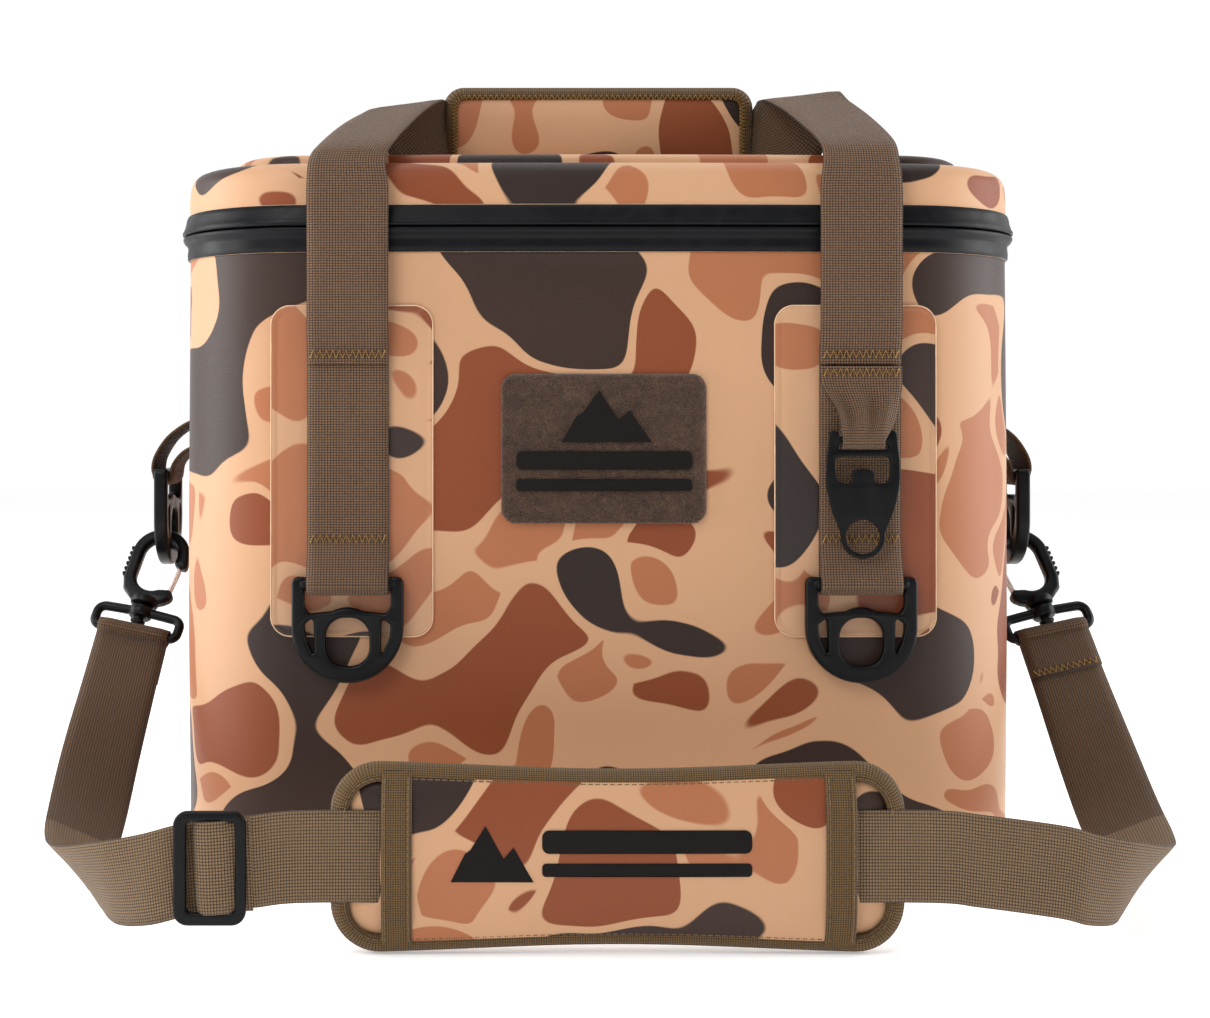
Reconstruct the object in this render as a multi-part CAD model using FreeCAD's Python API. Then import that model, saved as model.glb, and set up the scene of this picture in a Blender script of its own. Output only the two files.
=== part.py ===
"""Soft-sided insulated cooler bag: a zipped box with a hinged lid, two webbing handles with padded grips,
a clip-on shoulder strap, plastic rings and a bottle opener. Millimetres, +Z up, front towards -Y.
The origin is the centre of the bag's footprint, on the surface it stands on."""

import FreeCAD
import Part
import math
import os

V = FreeCAD.Vector
X_AXIS, Y_AXIS, Z_AXIS = V(1, 0, 0), V(0, 1, 0), V(0, 0, 1)

# ---- driving dimensions of the box ----
HALF_W = 203.0          # half width, to the outside of the wall
HALF_D = 130.0          # half depth at the corners
BOW = 6.0               # how far the front and back swell beyond HALF_D
CORNER_R = 60.0         # vertical corner radius
BODY_TOP = 300.8        # where the wall panel meets the zipper band
ZIP_Z = 312.0           # height of the zipper line
BAND_TOP = 322.0        # where the band meets the lid's wall
LID_TOP = 343.0
RAISED_TOP = 350.0      # top of the raised panel on the lid
SKIN = 1.6              # coated fabric
FOAM = 16.0             # wall insulation
BASE_EDGE_R = 12.0
BAND_OUT = 3.6          # how far the zipper line stands out from the wall
ZIP_END_Y = 70.0        # the zipper stops at the rear corners
GAP = 0.4               # running gap at the zipper line

# ---- webbing, patches, rings ----
WEB_W = 38.0            # webbing width
WEB_T = 1.8             # webbing thickness
HANDLE_X = 119.5        # handle webbing, from the centre line
PATCH_T = 0.9
PATCH_W, PATCH_LOW, PATCH_HIGH = 76.0, 120.0, 275.0
STITCH_Z = 256.0        # top of the anchor webbing, where the handle starts
RING_Z = 145.0          # front and rear ring bar
BAR_R = 3.25            # ring bar
BAR_CLEAR = 0.35
RING_T = 6.0
SIDE_RING_X, SIDE_RING_Z = 227.0, 193.0
OPENER_Z = 212.0
OPENER_T = 3.0

# ---- handles ----
RISER_Y = -142.2        # middle of the riser's thickness, in front of the zipper band
RISER_Z0, RISER_Z1 = 258.0, 336.0
GRIP_HALF = 79.0        # half length of the padded grip
GRIP_LOW, GRIP_HIGH = 351.6, 396.0
GRIP_WEB_LOW, GRIP_WEB_HIGH = 354.5, 384.5

# ---- shoulder strap ----
HOOK_LEAN = 32.0        # the hooks lean forward from their rings, in degrees
HOOK_TILT = 13.0        # and outward in their own plane
HOOK_Z = 159.0          # hook bar, where it passes through the side ring
SWIVEL_S = 47.0         # from the hook bar down to the swivel loop's upper bar
SWIVEL_GAP = 11.0       # upper bar to lower bar of the swivel loop
STRAP_Y = -244.0        # middle plane of the strap at the shoulder pad
PAD_HALF = 119.0
PAD_H = 79.6
PAD_CORNER_R = 21.0
KEEPER_X = 91.2         # middle of the bands that hold the strap to the pad
KEEPER_W = 12.6
STRAP_Z = 41.0

OUT = "parts"


# ---------------------------------------------------------------- helpers
def prism(offset, z0, z1):
    """The bag's plan outline grown by offset, between two heights."""
    hw, hd = HALF_W + offset, HALF_D + offset
    a, b, c, d = V(-hw, -hd, z0), V(hw, -hd, z0), V(hw, hd, z0), V(-hw, hd, z0)
    edges = [
        Part.Arc(a, V(0, -hd - BOW, z0), b).toShape(),
        Part.LineSegment(b, c).toShape(),
        Part.Arc(c, V(0, hd + BOW, z0), d).toShape(),
        Part.LineSegment(d, a).toShape(),
    ]
    solid = Part.Face(Part.Wire(edges)).extrude(V(0, 0, z1 - z0))
    upright = [e for e in solid.Edges if abs(e.Vertexes[0].Z - e.Vertexes[-1].Z) > 0.5 * (z1 - z0)]
    return solid.makeFillet(CORNER_R + offset, upright)


def ring_wall(inner, outer, z0, z1):
    return prism(outer, z0, z1).cut(prism(inner, z0 - 1, z1 + 1))


def outline_wire(offset, z):
    """The plan outline as a wire at height z."""
    base = min(prism(offset, z, z + 5).Faces, key=lambda f: f.CenterOfMass.z)
    return base.OuterWire


def tapered(offset0, z0, offset1, z1):
    return Part.makeLoft([outline_wire(offset0, z0), outline_wire(offset1, z1)], True, True)


def box(x0, x1, y0, y1, z0, z1):
    return Part.makeBox(x1 - x0, y1 - y0, z1 - z0, V(x0, y0, z0))


def level_edges(solid, z, near=0.05):
    return [e for e in solid.Edges if abs(e.BoundBox.ZMin - z) < near and abs(e.BoundBox.ZMax - z) < near]


def edges_at_y(solid, y, near=0.01):
    return [e for e in solid.Edges if abs(e.BoundBox.YMin - y) < near and abs(e.BoundBox.YMax - y) < near]


def plate(points_or_edges, depth, normal):
    """A closed outline, extruded by depth along normal."""
    edges = points_or_edges
    if isinstance(edges[0], FreeCAD.Vector):
        closed = list(edges) + [edges[0]]
        edges = [Part.LineSegment(p, q).toShape() for p, q in zip(closed, closed[1:])]
    return Part.Face(Part.Wire(edges)).extrude(normal * depth)


def rounded_plate(cx, cz, w, h, r, y0, y1):
    """A plate in the XZ plane with round corners, between two depths."""
    solid = box(cx - w / 2, cx + w / 2, y0, y1, cz - h / 2, cz + h / 2)
    along_y = [e for e in solid.Edges if abs(e.BoundBox.YMax - e.BoundBox.YMin) > 0.9 * (y1 - y0)]
    return solid.makeFillet(r, along_y)


def rod(r, start, end):
    return Part.makeCylinder(r, (end - start).Length, start, end - start)


def mirrored(shape, axis):
    return shape.mirror(V(0, 0, 0), axis)


def ribbon(stations, width, thickness):
    """A flat strap through stations of (centre, width direction), as ruled spans with square edges."""
    centres = [c for c, _ in stations]
    wires = []
    for i, (centre, across) in enumerate(stations):
        ahead = centres[min(i + 1, len(centres) - 1)] - centres[max(i - 1, 0)]
        across = V(across)
        across.normalize()
        normal = ahead.cross(across)
        normal.normalize()
        a, n = across * (width / 2), normal * (thickness / 2)
        corners = [centre - a - n, centre + a - n, centre + a + n, centre - a + n, centre - a - n]
        wires.append(Part.makePolygon(corners))
    return Part.makeLoft(wires, True, True)


def group(shapes):
    return Part.makeCompound(shapes)


def save(name, shape):
    solids = shape.Solids
    bad = [s for s in solids if not s.isValid() or s.Volume < 1]
    print(f"{name:24s} solids {len(solids)} volume {shape.Volume:12.1f} {'BAD' if bad or not solids else ''}")
    shape.exportStep(os.path.join(OUT, name + ".step"))


# ---------------------------------------------------------------- the box
def base_panel():
    """Welded bottom panel: a shallow tray that turns up into the walls."""
    top = BASE_EDGE_R + 2
    outer = prism(0, 0, top)
    outer = outer.makeFillet(BASE_EDGE_R, level_edges(outer, 0))
    inner = prism(-SKIN, SKIN, top + 1)
    inner = inner.makeFillet(BASE_EDGE_R - SKIN, level_edges(inner, SKIN))
    return outer.cut(inner)


def wall_panel():
    return ring_wall(-SKIN, 0, BASE_EDGE_R + 2, BODY_TOP)


def foam_base():
    solid = prism(-SKIN - 0.1, SKIN + 0.1, FOAM + SKIN)
    return solid.makeFillet(BASE_EDGE_R - SKIN, level_edges(solid, SKIN + 0.1))


def foam_walls():
    return ring_wall(-SKIN - 0.1 - FOAM, -SKIN - 0.1, FOAM + SKIN + 0.1, BODY_TOP - 2.5)


def liner():
    inset = SKIN + 0.2 + FOAM
    floor_z = FOAM + SKIN + 0.1
    return prism(-inset, floor_z, BODY_TOP - 2.5).cut(prism(-inset - 1.2, floor_z + 1.2, BODY_TOP))


def body_rim():
    """Firm rim that closes the wall's top edge and carries the lower half of the zipper."""
    inset = SKIN + 1.4 + FOAM
    top = ring_wall(-inset, -0.2, BODY_TOP + 0.1, ZIP_Z - GAP)
    tongue = ring_wall(-inset, -SKIN - 0.1, BODY_TOP - 2.4, BODY_TOP + 0.1)
    return top.fuse(tongue)


def open_at_rear(shape):
    """Leaves only the front and sides, where the zipper runs."""
    return shape.cut(box(-300, 300, ZIP_END_Y, 300, 250, 400))


def lower_zipper_band():
    outer = tapered(0.3, BODY_TOP + 0.1, BAND_OUT, ZIP_Z - GAP)
    hollow = tapered(0.02, BODY_TOP + 0.09, BAND_OUT - SKIN, ZIP_Z - GAP + 0.01)
    return open_at_rear(outer.cut(hollow))


def upper_zipper_band():
    outer = tapered(BAND_OUT, ZIP_Z + GAP, 0.3, BAND_TOP)
    hollow = tapered(BAND_OUT - SKIN, ZIP_Z + GAP - 0.01, 0.02, BAND_TOP + 0.01)
    return open_at_rear(outer.cut(hollow))


def coil(z0, z1):
    """Zipper coil, behind the band's lip."""
    return open_at_rear(ring_wall(0.1, 1.5, z0, z1))


def rear_hinge_strip():
    """Fabric hinge across the back, on the box side."""
    strip = ring_wall(0.05, 1.2, BODY_TOP - 14, ZIP_Z - GAP)
    return strip.common(box(-150, 150, 60, 200, 250, 400))


def lid_shell():
    z0 = ZIP_Z + GAP
    outer = prism(0, z0, LID_TOP)
    outer = outer.makeFillet(9.0, level_edges(outer, LID_TOP))
    inner = prism(-SKIN, z0 - 1, LID_TOP - SKIN)
    inner = inner.makeFillet(9.0 - SKIN, level_edges(inner, LID_TOP - SKIN))
    return outer.cut(inner)


def lid_panel():
    solid = prism(-24, LID_TOP, RAISED_TOP)
    return solid.makeFillet(4.5, level_edges(solid, RAISED_TOP))


def lid_foam():
    solid = prism(-SKIN - 0.1, ZIP_Z + GAP + 1.4, LID_TOP - SKIN - 0.1)
    return solid.makeFillet(8.0, level_edges(solid, LID_TOP - SKIN - 0.1))


def lid_liner():
    return prism(-SKIN - 0.1, ZIP_Z + GAP, ZIP_Z + GAP + 1.2)


# ---------------------------------------------------------------- patches and webbing on the walls
def wall_patch(cx, w, z0, z1, r, t0, t1, front=True):
    """A patch that follows the front or rear wall."""
    cutter = rounded_plate(cx, (z0 + z1) / 2, w, z1 - z0, r, -200, 0)
    if not front:
        cutter = mirrored(cutter, Y_AXIS)
    return ring_wall(t0, t1, z0 - 5, z1 + 5).common(cutter)


def pile_patch():
    """Flat hook-and-loop patch for a badge, on the middle of the front."""
    return rounded_plate(0, 208, 96, 70, 7, -HALF_D - BOW - 2.0, -HALF_D).cut(prism(0.02, 150, 260))


def wall_y(x):
    """How far the front wall stands out at x, as a positive distance from the middle plane."""
    radius = (HALF_W**2 + BOW**2) / (2 * BOW)
    return HALF_D + BOW - (radius - math.sqrt(radius**2 - x**2))


def loop_round_bar(cx, width, bar_y, bar_z, bar_r, top_z, front_y, back_y):
    """Webbing sewn double above top_z, that opens into a loop round a bar. Drawn in the YZ plane."""
    x0 = cx - width / 2
    outer_r = bar_r + BAR_CLEAR + WEB_T
    wedge = plate(
        [
            V(x0, bar_y - outer_r, bar_z),
            V(x0, front_y, bar_z + 22),
            V(x0, front_y, top_z),
            V(x0, back_y, top_z),
            V(x0, back_y, bar_z),
        ],
        width,
        X_AXIS,
    )
    eye = Part.makeCylinder(outer_r, width, V(x0, bar_y, bar_z), X_AXIS)
    hole = Part.makeCylinder(bar_r + BAR_CLEAR, width + 2, V(x0 - 1, bar_y, bar_z), X_AXIS)
    return wedge.fuse(eye).cut(hole)


def anchor_bar_y():
    """Depth of the ring bar: its webbing loop just touches the patch."""
    return -(wall_y(HANDLE_X) + PATCH_T + BAR_R + BAR_CLEAR + WEB_T + 0.6)


def anchor(side):
    """Webbing sewn down the patch, with the ring's loop at its lower end."""
    surface = wall_y(HANDLE_X) + PATCH_T
    shape = loop_round_bar(
        side * HANDLE_X, WEB_W, anchor_bar_y(), RING_Z, BAR_R, STITCH_Z, -surface - 2 * WEB_T, -surface + 3
    )
    return shape.cut(prism(PATCH_T + 0.05, 100, 300))


OPENER_Y = -145.6       # middle of the opener's plate


def opener_loop():
    """Short webbing sewn over the right anchor, narrowed to hold the bottle opener."""
    surface = wall_y(HANDLE_X) + PATCH_T + 2 * WEB_T + 0.7
    narrow = 22.0
    loop = loop_round_bar(HANDLE_X, narrow, OPENER_Y, OPENER_Z, 2.9, 240.0, -surface - WEB_T, -surface)
    head = box(HANDLE_X - WEB_W / 2, HANDLE_X + WEB_W / 2, -surface - WEB_T, -surface, 240.0, STITCH_Z - 1)
    return loop.fuse(head)


def side_loop():
    """Webbing loop that stands off the left side and carries the side ring. Drawn in the XZ plane."""
    bar = V(-SIDE_RING_X, 0, SIDE_RING_Z)
    outer_r = BAR_R + BAR_CLEAR + WEB_T
    wall = -HALF_W - PATCH_T - 0.05
    y0 = -WEB_W / 2
    body = plate(
        [
            V(bar.x - outer_r, y0, bar.z),
            V(bar.x - outer_r + 2, y0, bar.z + 14),
            V(wall - 8, y0, 223),
            V(wall, y0, 227),
            V(wall, y0, 203),
            V(wall - 6, y0, 200),
            V(bar.x + outer_r, y0, bar.z),
        ],
        WEB_W,
        Y_AXIS,
    )
    hollow = plate(
        [
            V(bar.x - BAR_R - BAR_CLEAR, y0 - 1, bar.z),
            V(bar.x - 2.5, y0 - 1, bar.z + 12),
            V(wall - 8, y0 - 1, 219),
            V(wall - 7, y0 - 1, 205),
            V(bar.x + BAR_R + BAR_CLEAR, y0 - 1, bar.z),
        ],
        WEB_W + 2,
        Y_AXIS,
    )
    eye = Part.makeCylinder(outer_r, WEB_W, V(bar.x, y0, bar.z), Y_AXIS)
    hole = Part.makeCylinder(BAR_R + BAR_CLEAR, WEB_W + 2, V(bar.x, y0 - 1, bar.z), Y_AXIS)
    return body.fuse(eye).cut(hollow).cut(hole)


def side_patch():
    """Welded patch on the left side wall."""
    plate_shape = box(-HALF_W - 1.2, -HALF_W + 1, -32, 32, 150, 246)
    rounded = plate_shape.makeFillet(9.0, [e for e in plate_shape.Edges if e.BoundBox.XLength > 2])
    return rounded.cut(prism(0.02, 100, 300)).common(prism(PATCH_T, 100, 300))


# ---------------------------------------------------------------- rings and opener
def web_ring():
    """Moulded ring for 38 mm webbing, hanging in the XZ plane from a bar on its origin."""
    half, arm_in = 26.0, 20.0
    y0 = -RING_T / 2
    centre_z = -22.5
    frame = box(-half, half, y0, -y0, centre_z, BAR_R)
    horns = [e for e in frame.Edges if e.BoundBox.YLength > 5 and e.BoundBox.ZMin > 0]
    frame = frame.makeFillet(3.0, horns)
    frame = frame.fuse(Part.makeCylinder(half, RING_T, V(0, y0, centre_z), Y_AXIS)).removeSplitter()
    frame = frame.makeFillet(1.4, [e for e in frame.Edges if e.BoundBox.YLength < 0.01])
    slot = box(-arm_in, arm_in, -9, 9, -15.8, 20)
    slot = slot.makeFillet(5.0, [e for e in slot.Edges if e.BoundBox.YLength > 10 and e.BoundBox.ZMax < 0])
    hump = Part.makeCylinder(13.6, 20, V(0, -10, -27.15), Y_AXIS)
    hole = rounded_plate(0, -28.65, 21.0, 24.0, 8.0, -9, 9)
    inner_frame = Part.makeCylinder(half - 5.2, 20, V(0, -10, centre_z), Y_AXIS)
    shape = frame.cut(slot.cut(hump)).cut(hole)
    for side in (-1, 1):
        x0, x1 = sorted((side * 15.2, side * 24.0))
        shape = shape.cut(box(x0, x1, -9, 9, -33.0, -19.0).common(inner_frame))
    bar = Part.makeCylinder(BAR_R, 2 * arm_in + 4, V(-arm_in - 2, 0, 0), X_AXIS)
    return shape.fuse(bar).removeSplitter()


def front_ring(side):
    shape = web_ring()
    shape.translate(V(side * HANDLE_X, anchor_bar_y(), RING_Z))
    return shape


def side_ring():
    shape = web_ring()
    shape.rotate(V(0, 0, 0), Z_AXIS, 90)
    shape.translate(V(-SIDE_RING_X, 0, SIDE_RING_Z))
    return shape


def opener():
    """Flat bottle opener, hanging in the XZ plane from its top bar."""
    y0 = -OPENER_T / 2
    top, wide, tip_z, tip_r = 2.5, 17.2, -47.0, 8.6

    def flank(side):
        return Part.Arc(V(side * wide, y0, -16), V(side * 14.4, y0, -31), V(side * tip_r, y0, tip_z)).toShape()

    outline = [
        Part.LineSegment(V(-wide, y0, top), V(wide, y0, top)).toShape(),
        Part.LineSegment(V(wide, y0, top), V(wide, y0, -16)).toShape(),
        flank(1),
        Part.Arc(V(tip_r, y0, tip_z), V(0, y0, tip_z - tip_r), V(-tip_r, y0, tip_z)).toShape(),
        flank(-1),
        Part.LineSegment(V(-wide, y0, -16), V(-wide, y0, top)).toShape(),
    ]
    body = plate(outline, OPENER_T, Y_AXIS)
    corners = [e for e in body.Edges if e.BoundBox.YLength > 2.9 and e.BoundBox.ZMin > 0]
    body = body.makeFillet(5.0, corners)
    mouth = rounded_plate(0, -11.8, 25.8, 18.6, 2.4, -5, 5)
    tooth = box(-4.3, 4.3, -6, 6, -22, -14.0)
    hole = Part.makeCylinder(7.9, 10, V(0, -5, -45.2), Y_AXIS)
    shape = body.cut(mouth.cut(tooth)).cut(hole)
    shape.translate(V(HANDLE_X, OPENER_Y, OPENER_Z))
    return shape


# ---------------------------------------------------------------- handles
LINK_STATIONS = [
    (V(-119.5, -142.4, 338.0), V(1, 0, 0)),
    (V(-118.5, -140.0, 350.0), V(1, 0, 0.03)),
    (V(-113.0, -122.0, 361.0), V(1, -0.02, 0.06)),
    (V(-104.0, -80.0, 375.0), V(1, -0.1, 0.12)),
    (V(-97.0, -42.0, 384.0), V(1, -0.3, 0.05)),
    (V(-90.0, -18.0, 378.0), V(0.75, -0.3, -0.6)),
]


def risers():
    """Front handle webbing from the stitching up to the lid's edge, left and right."""
    return [
        box(x - WEB_W / 2, x + WEB_W / 2, RISER_Y - WEB_T / 2, RISER_Y + WEB_T / 2, RISER_Z0, RISER_Z1)
        for x in (-HANDLE_X, HANDLE_X)
    ]


def handle_strap():
    """Front handle webbing over the lid: two twisted links and the straight run inside the grip."""
    left = ribbon(LINK_STATIONS, WEB_W, WEB_T)
    grip = box(-GRIP_HALF, GRIP_HALF, -4.4, -4.4 + WEB_T, GRIP_WEB_LOW, GRIP_WEB_HIGH)
    return [left, mirrored(left, X_AXIS), grip]


def grip_pad():
    """Padded half of the grip, on the front handle's outer side."""
    solid = rounded_plate(0, (GRIP_LOW + GRIP_HIGH) / 2, 2 * GRIP_HALF - 8, GRIP_HIGH - GRIP_LOW - 8, 7.0, -13.5, -4.6)
    front = edges_at_y(solid, -13.5)
    return solid.makeFillet(3.5, front)


def grip_binding():
    middle, height = (GRIP_LOW + GRIP_HIGH) / 2, GRIP_HIGH - GRIP_LOW
    outer = rounded_plate(0, middle, 2 * GRIP_HALF, height, 11.0, -10.5, -5.0)
    inner = rounded_plate(0, middle, 2 * GRIP_HALF - 7.9, height - 7.9, 7.1, -20, 0)
    return outer.cut(inner)


def grip_strip():
    return box(-68, 68, -2.3, -0.2, GRIP_WEB_HIGH - 12, GRIP_WEB_HIGH)


# ---------------------------------------------------------------- zipper slider
def zipper_slider():
    """Slider that rides the band on the left side, parked towards the rear."""
    x0 = -HALF_W - BAND_OUT - 0.3
    body = box(x0 - 4.0, x0, 38, 62, ZIP_Z - 7, ZIP_Z + 7)
    body = body.makeFillet(1.6, [e for e in body.Edges if e.BoundBox.XMax < x0 - 0.5])
    lug = box(x0 - 9.0, x0 - 3.9, 44, 47, ZIP_Z - 3, ZIP_Z + 3)
    lug = lug.fuse(box(x0 - 9.0, x0 - 3.9, 53, 56, ZIP_Z - 3, ZIP_Z + 3))
    return body.fuse(lug)


def zipper_pull_pin():
    x0 = -HALF_W - BAND_OUT - 0.3
    return V(x0 - 7.0, 50, ZIP_Z)


def zipper_pull():
    """Ring-shaped pull that hangs between the slider's lugs."""
    pin = zipper_pull_pin()
    tab = box(pin.x - 1.6, pin.x + 1.6, 43.5, 56.5, ZIP_Z - 38, ZIP_Z - 6.5)
    tab = tab.makeFillet(4.5, [e for e in tab.Edges if e.BoundBox.XLength > 3])
    tab = tab.cut(box(pin.x - 3, pin.x + 3, 47.5, 52.5, ZIP_Z - 34, ZIP_Z - 16))
    neck = box(pin.x - 1.6, pin.x + 1.6, 47.4, 52.6, ZIP_Z - 8, ZIP_Z + 1.6)
    return tab.fuse(neck).removeSplitter()


# ---------------------------------------------------------------- strap hardware
def place_hook(shape):
    """Moves a left hook part from its own frame: bar on the origin, body down -Z, plate in XZ."""
    shape.rotate(V(0, 0, 0), Y_AXIS, HOOK_TILT)
    shape.rotate(V(0, 0, 0), X_AXIS, -HOOK_LEAN)
    shape.translate(V(-SIDE_RING_X, 0, HOOK_Z))
    return shape


def hook_point(x, s):
    """A point of the left hook's plane, s below its bar, in the bag's frame."""
    marker = Part.Vertex(x, 0, -s)
    return place_hook(marker).Point


HOOK_T = 6.4
HOOK_EYE = 9.0          # half width of the eye
GATE_FOOT = V(HOOK_EYE + HOOK_T / 2, 0, -31.2)
GATE_LENGTH = 13.0


def hook():
    """Snap hook: spine, nose and swivel stem. The gate side is open."""
    t = HOOK_T
    outer_r = HOOK_EYE + t
    top_z = -(outer_r - t / 2)
    outer = Part.makeCylinder(outer_r, t, V(0, -t / 2, top_z), Y_AXIS)
    outer = outer.fuse(box(-outer_r, outer_r, -t / 2, t / 2, -33, top_z))
    low = plate(
        [V(-outer_r, -t / 2, -33), V(-7, -t / 2, -40), V(7, -t / 2, -40), V(outer_r - 3, -t / 2, -33)], t, Y_AXIS
    )
    outer = outer.fuse(low).removeSplitter()
    eye = Part.makeCylinder(HOOK_EYE, 20, V(0, -10, top_z), Y_AXIS)
    eye = eye.fuse(box(-HOOK_EYE, HOOK_EYE, -10, 10, -26, top_z))
    eye = eye.fuse(Part.makeCylinder(HOOK_EYE, 20, V(0, -10, -25), Y_AXIS))
    gate_gap = box(HOOK_EYE - 2, 30, -10, 10, -30.5, -16.5)
    gate_seat = Part.makeCylinder(1.3, 5.8, GATE_FOOT - V(0, 2.9, 0), Y_AXIS)
    outer = outer.makeFillet(1.6, [e for e in outer.Edges if e.BoundBox.YLength < 0.01])
    frame = outer.cut(eye).cut(gate_gap).cut(gate_seat)
    collar = Part.makeCylinder(6.4, 4.2, V(0, 0, -43.0), Z_AXIS)
    stem = Part.makeCylinder(2.6, 8.4, V(0, 0, -51.2), Z_AXIS)
    head = Part.makeCone(2.6, 4.2, 1.6, V(0, 0, -52.6), Z_AXIS)
    rib_l = t - 2.6
    ribs = [Part.makeCylinder(0.9, rib_l, V(-outer_r, -rib_l / 2, -14.0 - 3.2 * i), Y_AXIS) for i in range(5)]
    shape = frame.fuse([collar, stem, head] + ribs)
    return place_hook(shape)


def gate():
    """Sprung wire gate: a pin in the frame's seat, two wires and a cross bar below the nose."""
    tip = GATE_FOOT + V(0, 0, GATE_LENGTH)
    wires = [rod(0.8, GATE_FOOT + V(0, y, 0), tip + V(0, y, 0)) for y in (-1.5, 1.5)]
    pin, bar = (rod(1.1, end + V(0, -2.7, 0), end + V(0, 2.7, 0)) for end in (GATE_FOOT, tip))
    return place_hook(bar.fuse(wires + [pin]))


def swivel_bar():
    """Rectangular webbing loop with the boss that turns on the hook's stem."""
    half, r = 22.5, 2.5
    z1, z0 = -SWIVEL_S, -SWIVEL_S - SWIVEL_GAP
    rods = [
        rod(r, V(-half, 0, z1), V(half, 0, z1)),
        rod(r, V(-half, 0, z0), V(half, 0, z0)),
        rod(r, V(-half, 0, z0), V(-half, 0, z1)),
        rod(r, V(half, 0, z0), V(half, 0, z1)),
    ]
    corners = [Part.makeSphere(r, V(x, 0, z)) for x in (-half, half) for z in (z0, z1)]
    boss = Part.makeCylinder(6.2, 6.6, V(0, 0, z1 - 3.0), Z_AXIS)
    bore = Part.makeCylinder(2.75, 14, V(0, 0, z1 - 5), Z_AXIS)
    room = Part.makeCylinder(4.6, 2.2, V(0, 0, z1 - 5.8), Z_AXIS)
    shape = rods[0].fuse(rods[1:] + corners + [boss])
    return place_hook(shape.cut(bore).cut(room))


def strap_run(side):
    """Stations of the webbing from a swivel bar round to the shoulder pad."""
    low = hook_point(0, SWIVEL_S + SWIVEL_GAP + 5.2)
    across = hook_point(10, 60) - hook_point(-10, 60)
    stations = [
        (low, across),
        (V(-243.0, -58.0, 84.0), V(0.97, -0.08, -0.22)),
        (V(-245.0, -90.0, 56.0), V(0.95, 0.10, -0.30)),
        (V(-243.0, -130.0, 35.0), V(0.86, 0.36, -0.40)),
        (V(-239.0, -168.0, 25.5), V(0.72, 0.52, -0.56)),
        (V(-231.0, -203.0, 23.0), V(0.50, 0.50, -0.78)),
        (V(-215.0, -229.0, 25.5), V(0.22, 0.30, -0.97)),
        (V(-197.0, -241.0, 30.5), V(0.06, 0.08, -1.0)),
        (V(-183.0, STRAP_Y, 34.5), V(0.08, 0, -1.0)),
        (V(-150.0, STRAP_Y, 39.0), V(0.06, 0, -1.0)),
        (V(-128.0, STRAP_Y, STRAP_Z), V(0, 0, -1.0)),
    ]
    if side < 0:
        return stations
    return [(V(-c.x, c.y, c.z), V(w.x, -w.y, -w.z)) for c, w in stations]


def strap_webbing(side):
    return ribbon(strap_run(side), WEB_W, WEB_T)


def strap_middle():
    """Straight webbing behind the shoulder pad's face."""
    half = 127.6
    return box(-half, half, STRAP_Y - WEB_T / 2, STRAP_Y + WEB_T / 2, STRAP_Z - WEB_W / 2, STRAP_Z + WEB_W / 2)


def bar_wrap():
    """Webbing folded round the left swivel loop's lower bar."""
    z0 = -SWIVEL_S - SWIVEL_GAP
    r_in, r_out = 2.5 + BAR_CLEAR, 2.5 + BAR_CLEAR + WEB_T
    tube = Part.makeCylinder(r_out, WEB_W, V(-WEB_W / 2, 0, z0), X_AXIS)
    hole = Part.makeCylinder(r_in, WEB_W + 2, V(-WEB_W / 2 - 1, 0, z0), X_AXIS)
    return place_hook(tube.cut(hole))


SLIDER_X = -168.0


def strap_slider():
    """Three-bar slider: two outer bars in front of the webbing and a middle bar behind it."""
    w, h, t = 30.0, 47.0, 3.2
    cz = 36.8
    front, back = STRAP_Y - WEB_T / 2 - 0.35, STRAP_Y + WEB_T / 2 + 0.35
    frame = rounded_plate(SLIDER_X, cz, w, h, 5.0, front - t, front)
    window = rounded_plate(SLIDER_X, cz, w - 9.5, WEB_W + 2.4, 1.5, front - t - 1, front + 1)
    frame = frame.cut(window)
    rim = edges_at_y(frame, front - t)
    frame = frame.makeFillet(1.1, rim)
    posts = [
        box(SLIDER_X - 3.0, SLIDER_X + 3.0, front - 0.5, back + 2.4, z0, z0 + 2.2)
        for z0 in (cz - WEB_W / 2 - 1.2 - 2.2, cz + WEB_W / 2 + 1.2)
    ]
    middle = box(SLIDER_X - 3.0, SLIDER_X + 3.0, back, back + 2.4, cz - WEB_W / 2 - 3.4, cz + WEB_W / 2 + 3.4)
    return frame.fuse(posts + [middle])


# ---------------------------------------------------------------- shoulder pad
def pad_foam():
    y0 = STRAP_Y + WEB_T / 2 + 0.3
    solid = rounded_plate(0, PAD_H / 2 + 0.2, 2 * PAD_HALF - 8, PAD_H - 8, PAD_CORNER_R - 4, y0, y0 + 9.0)
    back = edges_at_y(solid, y0 + 9)
    return solid.makeFillet(3.0, back)


def pad_face():
    y1 = STRAP_Y - WEB_T / 2 - 0.3
    half = KEEPER_X - KEEPER_W / 2 - 0.4
    solid = box(-half, half, y1 - 3.0, y1, 8.2, PAD_H - 7.8)
    bridge = [box(-half, half, y1 - 0.1, y1 + WEB_T + 0.5, z0, z0 + 6) for z0 in (8.2, PAD_H - 13.8)]
    return solid.fuse(bridge)


def pad_binding():
    y0 = STRAP_Y + WEB_T / 2 + 1.0
    outer = rounded_plate(0, PAD_H / 2 + 0.2, 2 * PAD_HALF, PAD_H, PAD_CORNER_R, y0, y0 + 5.5)
    inner = rounded_plate(0, PAD_H / 2 + 0.2, 2 * PAD_HALF - 7.9, PAD_H - 7.9, PAD_CORNER_R - 3.95, y0 - 5, y0 + 20)
    return outer.cut(inner)


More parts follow.
